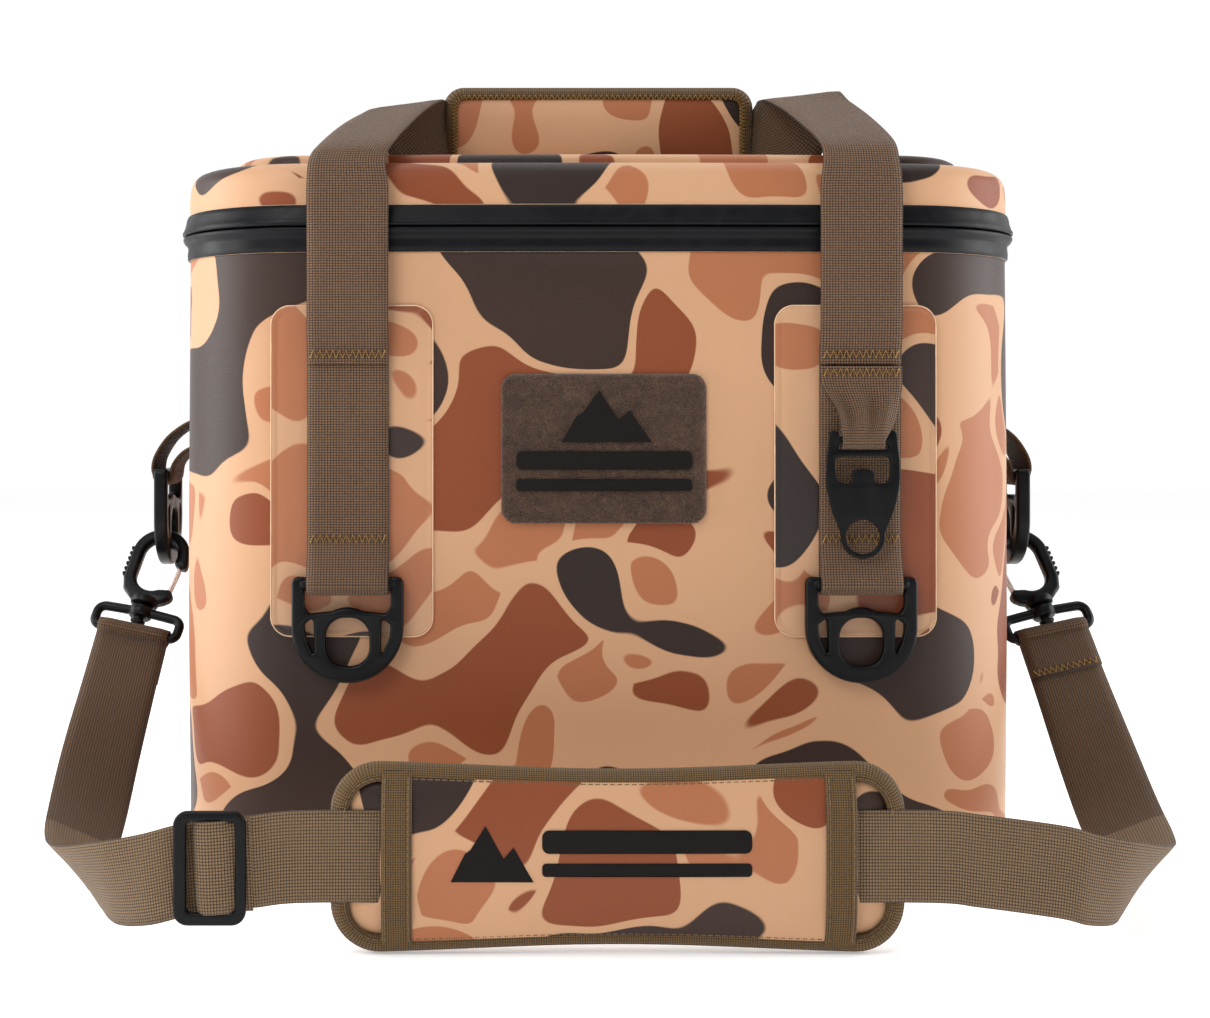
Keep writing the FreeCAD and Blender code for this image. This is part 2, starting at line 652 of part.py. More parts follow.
def pad_keeper(side):
    """Webbing band across one end of the pad that holds the strap down."""
    y1 = STRAP_Y - WEB_T / 2 - 0.35
    x0 = side * KEEPER_X - KEEPER_W / 2
    x1 = x0 + KEEPER_W
    band = box(x0, x1, y1 - 1.6, y1, 8.2, PAD_H - 7.8)
    feet = [box(x0, x1, y1 - 0.1, STRAP_Y + WEB_T / 2 + 0.25, z0, z0 + 9) for z0 in (8.2, PAD_H - 16.8)]
    return band.fuse(feet)


# ---------------------------------------------------------------- build
def main():
    os.makedirs(OUT, exist_ok=True)
    box_parts = {
        "base_panel": base_panel(),
        "wall_panel": wall_panel(),
        "foam_base": foam_base(),
        "foam_walls": foam_walls(),
        "liner": liner(),
        "body_rim": body_rim(),
        "lower_zipper_band": lower_zipper_band(),
        "lower_zipper_coil": coil(ZIP_Z - GAP - 2.2, ZIP_Z - GAP),
        "rear_hinge_strip": rear_hinge_strip(),
        "lid_shell": lid_shell(),
        "lid_panel": lid_panel(),
        "lid_foam": lid_foam(),
        "lid_liner": lid_liner(),
        "upper_zipper_band": upper_zipper_band(),
        "upper_zipper_coil": coil(ZIP_Z + GAP, ZIP_Z + GAP + 2.2),
    }
    for name, shape in box_parts.items():
        save(name, shape)

    patch = {s: wall_patch(s * 118, PATCH_W, PATCH_LOW, PATCH_HIGH, 9, 0.02, PATCH_T) for s in (-1, 1)}
    save("front_patches", group([patch[-1], patch[1]]))
    save("rear_patches", group([mirrored(patch[-1], Y_AXIS), mirrored(patch[1], Y_AXIS)]))
    save("pile_patch", pile_patch())
    anchors = {"left": anchor(-1), "right": anchor(1)}
    for side, shape in anchors.items():
        save(f"front_{side}_anchor", shape)
        save(f"rear_{side}_anchor", mirrored(shape, Y_AXIS))
    save("opener_loop", opener_loop())
    save("left_side_patch", side_patch())
    save("right_side_patch", mirrored(side_patch(), X_AXIS))
    save("left_side_loop", side_loop())
    save("right_side_loop", mirrored(side_loop(), X_AXIS))

    for side, name in ((-1, "left"), (1, "right")):
        save(f"front_{name}_ring", front_ring(side))
        save(f"rear_{name}_ring", mirrored(front_ring(side), Y_AXIS))
    save("left_side_ring", side_ring())
    save("right_side_ring", mirrored(side_ring(), X_AXIS))
    save("bottle_opener", opener())

    handle_parts = {
        "risers": risers(),
        "handle_strap": handle_strap(),
        "grip_pad": [grip_pad()],
        "grip_binding": [grip_binding()],
        "grip_strip": [grip_strip()],
    }
    for name, shapes in handle_parts.items():
        save(f"front_{name}", group(shapes))
        save(f"rear_{name}", group([mirrored(s, Y_AXIS) for s in shapes]))

    save("zipper_slider", zipper_slider())
    save("zipper_pull", zipper_pull())

    strap_parts = {"hook": hook(), "gate": gate(), "swivel_bar": swivel_bar()}
    for name, shape in strap_parts.items():
        save(f"left_{name}", shape)
        save(f"right_{name}", mirrored(shape, X_AXIS))
    save("left_strap", group([strap_webbing(-1), bar_wrap()]))
    save("right_strap", group([strap_webbing(1), mirrored(bar_wrap(), X_AXIS)]))
    save("strap_middle", strap_middle())
    save("strap_slider", strap_slider())
    save("pad_foam", pad_foam())
    save("pad_face", pad_face())
    save("pad_binding", pad_binding())
    save("pad_keepers", group([pad_keeper(-1), pad_keeper(1)]))


main()
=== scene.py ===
"""Looks for the insulated cooler bag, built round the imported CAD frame. Lengths are in millimetres
until a mesh is made; x runs to the right, y to the back and z up, as in the CAD."""

import math

import bpy
import bmesh
from mathutils import Matrix, Vector, noise


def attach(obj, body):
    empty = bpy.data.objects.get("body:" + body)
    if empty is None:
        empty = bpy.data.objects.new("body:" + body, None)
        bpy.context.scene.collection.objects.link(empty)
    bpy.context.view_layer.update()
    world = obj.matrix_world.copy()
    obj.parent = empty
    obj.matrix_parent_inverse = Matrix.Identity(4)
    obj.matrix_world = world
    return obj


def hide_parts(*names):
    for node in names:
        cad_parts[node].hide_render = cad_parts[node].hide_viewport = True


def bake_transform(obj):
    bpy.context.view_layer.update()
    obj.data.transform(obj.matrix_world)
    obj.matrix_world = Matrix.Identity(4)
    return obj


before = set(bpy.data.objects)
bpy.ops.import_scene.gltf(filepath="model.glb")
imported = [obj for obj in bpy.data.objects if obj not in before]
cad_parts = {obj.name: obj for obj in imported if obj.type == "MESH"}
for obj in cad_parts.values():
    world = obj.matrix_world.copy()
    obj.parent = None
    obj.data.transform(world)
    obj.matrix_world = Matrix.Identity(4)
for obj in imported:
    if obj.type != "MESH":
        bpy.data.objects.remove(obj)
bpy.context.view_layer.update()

MM = 0.001
HALF_W, HALF_D, BOW, CORNER_R = 203.0, 130.0, 6.0, 60.0
BAND_LOW, ZIP_Z, BAND_TOP = 300.8, 312.0, 322.0
LID_TOP, RAISED_TOP = 343.0, 350.0
WEB_W, WEB_T = 38.0, 1.8
HANDLE_X = 119.5
STITCH_HALF = 17.5
STITCH_LOW, STITCH_HIGH = 166, 252.0
PATCH = (118, 197.5, 76, 155, 9)        # middle x and z, width, height and corner radius
SIDE_PATCH = (0, 198, 64, 96, 9)
PILE = (0, 208, 96, 70, 7)
BAR_Y, RING_Z, BAR_R = -140.82, 145.0, 3.25
SIDE_RING_X, SIDE_RING_Z = 227.0, 193.0
OPENER_Y, OPENER_Z = -145.6, 212.0
HOOK_LEAN, HOOK_TILT, HOOK_Z = 32.0, 13.0, 159.0
SWIVEL_HIGH, SWIVEL_LOW, SWIVEL_R = -47.0, -58.0, 2.5
WRAP_GAP = 0.35         # between a bar and the webbing round it
STRAP_Y, STRAP_Z = -244.0, 41.0
PAD_HALF, PAD_H, PAD_R = 119.0, 79.6, 21.0
KEEPER_X, KEEPER_W = 91.2, 12.6
GRIP_HALF, GRIP_LOW, GRIP_HIGH = 82.5, 351.6, 399.5
GRIP_X = 4.0
HANDLE_LEAN = 6.0       # how far the risers lean to the right on their way to the grip
FOLD_ROW = 61           # first row past the diagonal fold
GATE_FOOT, GATE_TIP = Vector((10.6, 0, -34.6)), Vector((12.0, 0, -18.2))
X_AXIS, Y_AXIS, Z_AXIS = Vector((1, 0, 0)), Vector((0, 1, 0)), Vector((0, 0, 1))
SIDES = ((-1, "left"), (1, "right"))
FACES = (("front", -1), ("rear", 1))


# ---------------------------------------------------------------- materials
class Nodes:
    """A material's node tree with one Principled shader."""

    def __init__(self, name, **shader):
        self.mat = bpy.data.materials.new(name)
        self.mat.use_nodes = True
        self.tree = self.mat.node_tree
        self.tree.nodes.clear()
        out = self.add("ShaderNodeOutputMaterial")
        self.bsdf = self.add("ShaderNodeBsdfPrincipled")
        self.tree.links.new(self.bsdf.outputs[0], out.inputs[0])
        for socket, value in shader.items():
            self.bsdf.inputs[socket.replace("_", " ")].default_value = value

    def add(self, kind, **settings):
        node = self.tree.nodes.new(kind)
        for key, value in settings.items():
            setattr(node, key, value)
        return node

    def put(self, socket, value):
        if isinstance(value, bpy.types.NodeSocket):
            self.tree.links.new(value, socket)
        else:
            socket.default_value = value

    def math(self, operation, a, b=0.0, c=0.0):
        node = self.add("ShaderNodeMath", operation=operation)
        for socket, value in zip(node.inputs, (a, b, c)):
            self.put(socket, value)
        return node.outputs[0]

    def vector(self, operation, a, b):
        node = self.add("ShaderNodeVectorMath", operation=operation)
        self.put(node.inputs[0], a)
        self.put(node.inputs[3] if operation == "SCALE" else node.inputs[1], b)
        return node.outputs[0]

    def uv(self):
        return self.add("ShaderNodeTexCoord").outputs["UV"]

    def object_coords(self):
        return self.add("ShaderNodeTexCoord").outputs["Object"]

    def axes(self, vector, first, second):
        """A flat vector made of two of another vector's axes."""
        split = self.add("ShaderNodeSeparateXYZ")
        self.put(split.inputs[0], vector)
        join = self.add("ShaderNodeCombineXYZ")
        self.put(join.inputs[0], split.outputs[first])
        self.put(join.inputs[1], split.outputs[second])
        return join.outputs[0]

    def split(self, vector):
        node = self.add("ShaderNodeSeparateXYZ")
        self.put(node.inputs[0], vector)
        return node.outputs

    def noise(self, vector, scale, detail=2.0, colour=False, distortion=0.0):
        node = self.add("ShaderNodeTexNoise")
        self.put(node.inputs["Vector"], vector)
        node.inputs["Scale"].default_value = scale
        node.inputs["Detail"].default_value = detail
        node.inputs["Distortion"].default_value = distortion
        return node.outputs["Color" if colour else "Fac"]

    def mix(self, factor, a, b):
        node = self.add("ShaderNodeMix", data_type="RGBA")
        self.put(node.inputs[0], factor)
        self.put(node.inputs[6], a)
        self.put(node.inputs[7], b)
        return node.outputs[2]

    def ramp(self, factor, stops, interpolation="LINEAR"):
        node = self.add("ShaderNodeValToRGB")
        node.color_ramp.interpolation = interpolation
        while len(node.color_ramp.elements) < len(stops):
            node.color_ramp.elements.new(0.5)
        for element, (position, colour) in zip(node.color_ramp.elements, stops):
            element.position = position
            element.color = colour
        self.put(node.inputs[0], factor)
        return node.outputs[0]

    def step(self, value, low, high, out_low=0.0, out_high=1.0):
        node = self.add("ShaderNodeMapRange", interpolation_type="SMOOTHSTEP")
        for socket, v in zip(node.inputs, (value, low, high, out_low, out_high)):
            self.put(socket, v)
        return node.outputs[0]

    def bump(self, height, distance_mm, strength=1.0, below=None):
        node = self.add("ShaderNodeBump")
        node.inputs["Strength"].default_value = strength
        node.inputs["Distance"].default_value = distance_mm * MM
        self.put(node.inputs["Height"], height)
        if below is not None:
            self.put(node.inputs["Normal"], below)
        return node.outputs[0]

    def finish(self, colour=None, roughness=None, normal=None):
        for socket, value in (("Base Color", colour), ("Roughness", roughness), ("Normal", normal)):
            if value is not None:
                self.put(self.bsdf.inputs[socket], value)
        return self.mat


def rgb(red, green, blue):
    """A colour given as it looks on a screen, 0 to 255, turned into the shader's linear values."""
    return tuple((c / 255) ** 2.2 for c in (red, green, blue)) + (1.0,)


TAN, SAND, RUST, DARK = rgb(196, 151, 115), rgb(165, 102, 68), rgb(126, 62, 32), rgb(35, 24, 23)
CAMO_LAYERS = ((DARK, 0.605), (RUST, 0.600), (SAND, 0.572), (SAND, 0.572), (RUST, 0.585))
CAMO_GAP = 0.036        # how much of each blob's slope is left bare round it


def camo(name, plane="uv", shift=(0.0, 0.0), gloss=0.0):
    """Coated fabric with rounded blobs in three colours on tan. plane is uv, or two axes it is laid on."""
    n = Nodes(name, Sheen_Weight=0.05, Sheen_Roughness=0.35, Specular_IOR_Level=0.25)
    n.bsdf.inputs["Coat Weight"].default_value = gloss
    n.bsdf.inputs["Coat Roughness"].default_value = 0.3
    flat = n.uv() if plane == "uv" else n.axes(n.object_coords(), *plane)
    place = n.vector("ADD", flat, (shift[0], shift[1], 0.0))
    colour, room = TAN, 1.0
    for index, (ink, level) in enumerate(CAMO_LAYERS):
        here = n.vector("ADD", place, (0.37 * index, -0.23 * index, 0.0413 + 0.31 * index))
        height = n.math("SUBTRACT", n.noise(here, 15.5, 0.35), level)
        rounded = n.math("SMOOTH_MIN", height, room, 0.11)
        colour = n.mix(n.step(rounded, -0.0025, 0.0025), colour, ink)
        room = n.math("MINIMUM", room, n.math("MULTIPLY_ADD", height, -1.0, -CAMO_GAP))
    fade = n.noise(place, 5.0, 1.0)
    colour = n.mix(n.step(fade, 0.3, 0.75, 0.0, 0.12), colour, rgb(120, 80, 62))
    u, v, _ = n.split(flat)
    rib = n.math("SINE", n.math("MULTIPLY", n.math("ADD", u, v), 2 * math.pi / 0.0012))
    slant = n.math("SUBTRACT", u, n.math("MULTIPLY", v, 0.6))
    cross = n.math("SINE", n.math("MULTIPLY", slant, 2 * math.pi / 0.0017))
    grain = n.math("MULTIPLY_ADD", n.math("MULTIPLY", rib, cross), 0.5, 0.5)
    colour = n.mix(n.math("MULTIPLY", grain, 0.018), colour, rgb(250, 225, 195))
    speck = n.noise(place, 900.0, 2.0)
    rough = n.step(speck, 0.3, 0.7, 0.40, 0.52)
    soft = n.bump(n.noise(place, 24.0, 2.0), 1.0, 0.3)
    return n.finish(colour, rough, n.bump(grain, 0.05, 0.4, soft))


def woven(name, light, dark, across_mm, along_mm, sheen=0.12):
    """Webbing or tape: square nubs of warp over weft, across_mm by along_mm, on UVs laid along it."""
    n = Nodes(name, Sheen_Weight=sheen, Sheen_Roughness=0.4, Specular_IOR_Level=0.3)
    u, v, _ = n.split(n.uv())
    a = n.math("SINE", n.math("MULTIPLY", u, math.pi / (across_mm * MM)))
    b = n.math("SINE", n.math("MULTIPLY", v, math.pi / (along_mm * MM)))
    height = n.math("POWER", n.math("ABSOLUTE", n.math("MULTIPLY", a, b)), 0.7)
    fibre = n.noise(n.uv(), 1400.0, 3.0)
    tone = n.math("ADD", n.math("MULTIPLY", height, 0.8), n.math("MULTIPLY", fibre, 0.35))
    colour = n.mix(n.step(tone, 0.2, 0.9), dark, light)
    wear = n.noise(n.uv(), 30.0, 2.0)
    colour = n.mix(n.step(wear, 0.35, 0.8, 0.0, 0.12), colour, light)
    normal = n.bump(height, 0.45, 0.8, n.bump(fibre, 0.1, 0.4))
    return n.finish(colour, n.step(fibre, 0.2, 0.8, 0.62, 0.85), normal)


def moulded(name, colour, rough=0.42):
    """Moulded plastic or rubber with a fine eroded texture and faint scuffs."""
    n = Nodes(name, Specular_IOR_Level=0.18)
    place = n.object_coords()
    fine = n.noise(place, 1500.0, 3.0)
    scuff = n.noise(place, 60.0, 5.0, distortion=1.0)
    pale = tuple(min(1.0, c * 1.6 + 0.003) for c in colour[:3]) + (1.0,)
    tint = n.mix(n.step(scuff, 0.45, 0.75, 0.0, 0.5), colour, pale)
    roughness = n.step(scuff, 0.3, 0.75, rough - 0.07, rough + 0.1)
    return n.finish(tint, roughness, n.bump(fine, 0.06, 0.45, n.bump(scuff, 0.15, 0.2)))


def thread_material(name, dark, light):
    n = Nodes(name, Sheen_Weight=0.2)
    twist = n.noise(n.object_coords(), 1800.0, 1.0)
    return n.finish(n.mix(twist, dark, light), 0.6, n.bump(twist, 0.15, 0.6))


def pile_material():
    n = Nodes("pile", Sheen_Weight=0.3, Sheen_Roughness=0.6, Specular_IOR_Level=0.15)
    place = n.object_coords()
    curls = n.noise(place, 620.0, 3.0, distortion=2.5)
    clumps = n.noise(place, 160.0, 3.0, distortion=1.0)
    tone = n.math("ADD", n.math("MULTIPLY", curls, 0.7), n.math("MULTIPLY", clumps, 0.3))
    colour = n.ramp(tone, [(0.3, rgb(38, 26, 18)), (0.52, rgb(82, 59, 44)), (0.72, rgb(122, 93, 72))])
    return n.finish(colour, 0.92, n.bump(tone, 1.2, 0.9))


def liner_material():
    n = Nodes("liner", Specular_IOR_Level=0.5)
    place = n.object_coords()
    crease = n.noise(place, 16.0, 4.0, distortion=0.8)
    colour = n.mix(crease, rgb(176, 180, 182), rgb(208, 210, 210))
    return n.finish(colour, n.step(crease, 0.3, 0.7, 0.28, 0.42), n.bump(crease, 2.0, 0.4))


def foam_material():
    n = Nodes("foam")
    cells = n.noise(n.object_coords(), 700.0, 2.0)
    return n.finish(n.mix(cells, rgb(205, 205, 200), rgb(236, 236, 232)), 0.9, n.bump(cells, 0.3, 0.8))


def steel_material():
    n = Nodes("steel_wire", Metallic=0.2)
    drawn = n.noise(n.object_coords(), 500.0, 3.0)
    colour = n.mix(drawn, rgb(206, 206, 208), rgb(240, 240, 242))
    return n.finish(colour, n.step(drawn, 0.3, 0.7, 0.2, 0.34))


def floor_material():
    n = Nodes("floor", Specular_IOR_Level=0.1)
    grain = n.noise(n.object_coords(), 3.0, 2.0)
    n.bsdf.inputs["Emission Color"].default_value = (1.0, 1.0, 1.0, 1.0)
    n.bsdf.inputs["Emission Strength"].default_value = 0.34
    return n.finish(n.mix(grain, rgb(250, 250, 250), rgb(253, 253, 253)), 0.9)


MAT = {
    "wall": camo("camo_wall", shift=(20.7, 1.3)),
    "lid": camo("camo_lid", shift=(16.2, 0.3)),
    "lid_top": camo("camo_lid_top", shift=(1.9, 0.7)),
    "patch": camo("camo_patch", shift=(8.2, 0.9), gloss=0.35),
    "grip": camo("camo_grip", plane=(0, 2), shift=(3.17, 0.25)),
    "pad": camo("camo_pad", plane=(0, 2), shift=(4.08, 0.67)),
    "webbing": woven("webbing", rgb(120, 92, 70), rgb(42, 29, 21), 1.35, 1.2),
    # painted shade: a darker copy of the webbing for runs that face away from the lights
    "shaded_webbing": woven("webbing_painted_shade", rgb(98, 73, 50), rgb(46, 32, 21), 1.35, 1.2),
    "strap": woven("strap_webbing", rgb(134, 109, 82), rgb(54, 40, 28), 1.35, 1.2),
    "binding": woven("binding", rgb(116, 90, 56), rgb(50, 36, 19), 1.0, 1.0),
    "rubber": moulded("rubber", rgb(15, 16, 19), 0.42),
    "plastic": moulded("plastic", rgb(13, 14, 16), 0.36),
    "coil": moulded("coil", rgb(15, 16, 18), 0.45),
    "metal": moulded("black_metal", rgb(30, 31, 33), 0.3),
    "raw_edge": moulded("raw_edge", rgb(214, 178, 146), 0.6),
    "thread": thread_material("thread", rgb(122, 86, 28), rgb(192, 146, 62)),
    "dull_thread": thread_material("dull_thread", rgb(70, 50, 26), rgb(120, 92, 54)),
    "print": moulded("print", rgb(22, 19, 17), 0.7),
    "pile": pile_material(),
    "liner": liner_material(),
    "foam": foam_material(),
    "steel": steel_material(),
    "floor": floor_material(),
}


# ---------------------------------------------------------------- mesh helpers
def link(obj):
    bpy.context.scene.collection.objects.link(obj)
    return obj


def baked(obj):
    """A new mesh of the object as its curve settings and modifiers shape it."""
    graph = bpy.context.evaluated_depsgraph_get()
    return bpy.data.meshes.new_from_object(obj.evaluated_get(graph))


def angles(start, step, count):
    """Angles in radians, from a start and a step in degrees."""
    return [math.radians(start + step * k) for k in range(count)]


def circle(count):
    """Angles of count points round a full turn."""
    return [2 * math.pi * k / count for k in range(count)]


def upright(loop, y):
    """A flat loop of (x, z) points stood up at depth y."""
    return [Vector((x, y, z)) for x, z in loop]


def flip(axis):
    """The matrix that mirrors across x (axis 0) or y (axis 1)."""
    scale = Matrix.Identity(4)
    scale[axis][axis] = -1
    return scale


def between(a, b, count):
    """The points that divide the line from a to b into count parts."""
    return [(a[0] + (b[0] - a[0]) * t / count, a[1] + (b[1] - a[1]) * t / count) for t in range(1, count)]


def new_object(name, verts, faces, material, corner_uvs=None, sharp=None):
    """A smooth mesh from points in millimetres. corner_uvs holds a pair in metres per face corner."""
    mesh = bpy.data.meshes.new(name)
    mesh.from_pydata([tuple(c * MM for c in v) for v in verts], [], faces)
    if corner_uvs is not None:
        layer = mesh.uv_layers.new(name="UVMap")
        layer.data.foreach_set("uv", [c for pair in corner_uvs for c in pair])
    mesh.polygons.foreach_set("use_smooth", [True] * len(mesh.polygons))
    if sharp is not None:
        mesh.set_sharp_from_angle(angle=math.radians(sharp))
    mesh.materials.append(material)
    mesh.validate()
    return link(bpy.data.objects.new(name, mesh))


def surface(name, rows, material, us=None, vs=None, closed=False, cap=(False, False)):
    """A sheet through rows of points. us and vs are the UV steps in mm, plain ones when they are left out;
    closed joins each row's ends, and cap fills the first and the last row."""
    count = len(rows[0])
    us = us or list(range(count + 1))
    vs = vs or [0] * len(rows)
    verts = [p for row in rows for p in row]
    faces, uvs = [], []
    for i in range(len(rows) - 1):
        for j in range(count if closed else count - 1):
            k = (j + 1) % count
            faces.append((i * count + j, i * count + k, (i + 1) * count + k, (i + 1) * count + j))
            for a, b in ((i, j), (i, j + 1), (i + 1, j + 1), (i + 1, j)):
                uvs.append((us[b] * MM, vs[a] * MM))
    for wanted, row, flipped in ((cap[0], 0, True), (cap[1], len(rows) - 1, False)):
        if wanted:
            order = list(range(count))[::-1] if flipped else list(range(count))
            faces.append(tuple(row * count + j for j in order))
            uvs.extend((us[j] * MM, vs[row] * MM) for j in order)
    return new_object(name, verts, faces, material, uvs)


def planar_uv(obj, first=0, second=1):
    """Lays the UVs flat on two axes, for a top or a patch."""
    mesh = obj.data
    layer = mesh.uv_layers[0].data
    for loop in mesh.loops:
        co = mesh.vertices[loop.vertex_index].co
        layer[loop.index].uv = (co[first], co[second])
    return obj


def lengths(points):
    total = [0.0]
    for a, b in zip(points, points[1:]):
        total.append(total[-1] + (Vector(b) - Vector(a)).length)
    return total


def arc(cx, cz, r, start, end, count=12):
    """Points of an arc in a plane, angles in degrees."""
    steps = [math.radians(start + (end - start) * i / count) for i in range(count + 1)]
    return [(cx + r * math.cos(a), cz + r * math.sin(a)) for a in steps]


def rounded_loop(cx, cz, w, h, r, corner=10, side=10):
    """Points round a rectangle with round corners, anticlockwise from the lower right."""
    right, top = w / 2 - r, h / 2 - r
    points = []
    for x, z, start in ((right, -top, -90), (right, top, 0), (-right, top, 90), (-right, -top, 180)):
        corner_points = arc(cx + x, cz + z, max(r, 0.01), start, start + 90, corner)
        if points:
            points += between(points[-1], corner_points[0], side)
        points += corner_points
    return points + between(points[-1], points[0], side)


def plan_outline(offset=0.0, corner=18, side=22):
    """The bag's outline seen from above, grown by offset, anticlockwise from the middle of the back."""
    r = max(CORNER_R + offset, 3.0)
    hw, hd = HALF_W + offset, HALF_D + offset
    loop = rounded_loop(0, 0, 2 * hw, 2 * hd, min(r, hd - 0.5), corner, side)
    bowed = []
    for x, y in loop:
        bulge = BOW * (1 - (x / hw) ** 2) * min(1.0, (abs(y) / hd)) ** 3
        bowed.append((x, y + math.copysign(bulge, y)))
    seam = min(range(len(bowed)), key=lambda i: abs(bowed[i][0]) if bowed[i][1] > 0 else 1e6)
    return bowed[seam:] + bowed[:seam]


def wall_y(x):
    """How far the front wall stands out at x, as a positive distance from the middle plane."""
    return HALF_D + BOW * (1 - (x / HALF_W) ** 2)


def swell(z):
    """The walls' slight belly between base and rim."""
    return 0.9 * math.sin(math.pi * min(max(z / BAND_LOW, 0.0), 1.0))


def catmull(points, steps=8):
    """A smooth line of vectors through the given ones."""
    extended = [2 * points[0] - points[1]] + list(points) + [2 * points[-1] - points[-2]]
    line = []
    for p0, p1, p2, p3 in zip(extended, extended[1:], extended[2:], extended[3:]):
        slope, bend, twist = p2 - p0, 2 * p0 - 5 * p1 + 4 * p2 - p3, 3 * p1 - p0 - 3 * p2 + p3
        for i in range(steps):
            t = i / steps
            line.append(0.5 * (2 * p1 + slope * t + bend * t * t + twist * t**3))
    line.append(points[-1].copy())
    return line


def webbing(name, lefts, rights, material, thickness=WEB_T, pucker=None, cells=8):
    """A flat strap between two edge lines. pucker gives each station's depth of lengthwise folds."""
    rows = []
    count = len(lefts)
    centres = [(a + b) / 2 for a, b in zip(lefts, rights)]
    for i, (a, b) in enumerate(zip(lefts, rights)):
        ahead = centres[min(i + 1, count - 1)] - centres[max(i - 1, 0)]
        normal = ahead.cross(b - a).normalized()
        fold = pucker[i] if pucker else 0.0
        top, under = [], []
        for k in range(cells + 1):
            t = k / cells
            lift = fold * math.cos(t * 5 * math.pi)
            half = thickness / 2 * (0.55 if k in (0, cells) else 1.0)
            point = a.lerp(b, t) + normal * lift
            top.append(point + normal * half)
            under.append(point - normal * half)
        rows.append(top + under[::-1])
    width = (rights[0] - lefts[0]).length
    across = [width * k / cells for k in range(cells + 1)]
    us = across + across[::-1] + [0.0]
    return surface(name, rows, material, us, lengths(centres), closed=True, cap=(True, True))


def strap(name, stations, material, width=WEB_W, steps=6, **more):
    """Webbing through (centre, width direction) or (centre, width direction, width) stations."""
    centres = catmull([s[0] for s in stations], steps)
    sides = catmull([s[1].normalized() * (s[2] if len(s) > 2 else width) / 2 for s in stations], steps)
    lefts = [c - a for c, a in zip(centres, sides)]
    rights = [c + a for c, a in zip(centres, sides)]
    return webbing(name, lefts, rights, material, **more)


def repaint_rows(obj, material, wanted, cells=8):
    """Gives another material to the rows of a flat strap for which wanted(row) holds."""
    obj.data.materials.append(material)
    for face in obj.data.polygons:
        face.material_index = int(wanted(face.index // (2 * cells + 2)))


def tube(name, points, radius, material, closed=False, sides=10):
    """A round bar along a line of points."""
    count = len(points)
    rows = []
    side = None
    for i, point in enumerate(points):
        before, after = max(i - 1, 0), min(i + 1, count - 1)
        if closed:
            before, after = i - 1, (i + 1) % count
        ahead = (points[after] - points[before]).normalized()
        if side is None:
            side = ahead.orthogonal().normalized()
        side = (side - ahead * side.dot(ahead)).normalized()
        other = ahead.cross(side)
        rows.append([point + (side * math.cos(a) + other * math.sin(a)) * radius for a in circle(sides)])
    if closed:
        rows.append(rows[0])
    us = [2 * math.pi * radius * k / sides for k in range(sides + 1)]
    vs = lengths(points + [points[0]] if closed else points)
    return surface(name, rows, material, us, vs, closed=True, cap=(not closed, not closed))


def lathe(name, profile, material, sides=28):
    """A turned piece about the z axis from (radius, z) points, closed at both ends."""
    rows = [[Vector((r * math.cos(a), r * math.sin(a), z)) for a in circle(sides)] for r, z in profile]
    obj = surface(name, rows, material, vs=list(range(len(rows))), closed=True, cap=(True, True))
    obj.data.set_sharp_from_angle(angle=math.radians(40))
    return obj


def moulding(name, outlines, thickness, bevel, material):
    """A flat moulded plate in the xz plane, centred on y = 0, from an outline and its holes."""
    curve = bpy.data.curves.new(name, "CURVE")
    curve.dimensions = "2D"
    curve.fill_mode = "BOTH"
    curve.extrude = (thickness / 2 - bevel) * MM
    curve.bevel_depth = bevel * MM
    curve.bevel_resolution = 3
    curve.offset = -bevel * MM
    for outline in outlines:
        spline = curve.splines.new("POLY")
        spline.points.add(len(outline) - 1)
        for point, (x, z) in zip(spline.points, outline):
            point.co = (x * MM, z * MM, 0, 1)
        spline.use_cyclic_u = True
    draft = link(bpy.data.objects.new(name + "_draft", curve))
    mesh = baked(draft)
    bpy.data.objects.remove(draft)
    mesh.transform(Matrix.Rotation(math.radians(90), 4, "X"))
    bm = bmesh.new()
    bm.from_mesh(mesh)
    bmesh.ops.remove_doubles(bm, verts=bm.verts, dist=0.00001)
    bm.to_mesh(mesh)
    bm.free()
    mesh.polygons.foreach_set("use_smooth", [True] * len(mesh.polygons))
    mesh.set_sharp_from_angle(angle=math.radians(38))
    mesh.materials.clear()
    mesh.materials.append(material)
    mesh.name = name
    return link(bpy.data.objects.new(name, mesh))


def join(name, objects):
    """One object from several, keeping their materials."""
    base = objects[0]
    chosen = {"selected_editable_objects": objects, "selected_objects": objects}
    with bpy.context.temp_override(active_object=base, **chosen):
        bpy.ops.object.join()
    base.name = name
    base.data.name = name
    return base


def moved(obj, matrix):
    """Applies a matrix, in millimetres, to the mesh."""
    metres = matrix.copy()
    metres.translation = matrix.translation * MM
    obj.data.transform(metres)
    if matrix.determinant() < 0:
        obj.data.flip_normals()
    return obj


def copy_of(obj, name):
    return link(bpy.data.objects.new(name, obj.data.copy()))


def mirror(obj, name, axis):
    """A mirrored copy, across x (axis 0) or y (axis 1)."""
    return moved(copy_of(obj, name), flip(axis))


def settle(obj, body, slot, *nodes):
    """Rides on a body and stands for CAD nodes; the slot argument is not used."""
    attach(obj, body)
    if nodes:
        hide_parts(*nodes)
    return obj


# ---------------------------------------------------------------- stitching
threads = {}


def stitch_zigzag(body, start, end, normal, width=3.6, pitch=1.5, thread="thread"):
    """One row of zigzag stitches on a flat spot, from start to end."""
    along = (end - start).normalized()
    across = normal.cross(along).normalized() * (width / 2)
    count = int((end - start).length / pitch)
    line = []
    for i in range(count + 1):
        base = start.lerp(end, i / count)
        line.append(base + (across if i % 2 else -across) + normal * 0.1)
    threads.setdefault((body, thread), []).append(line)


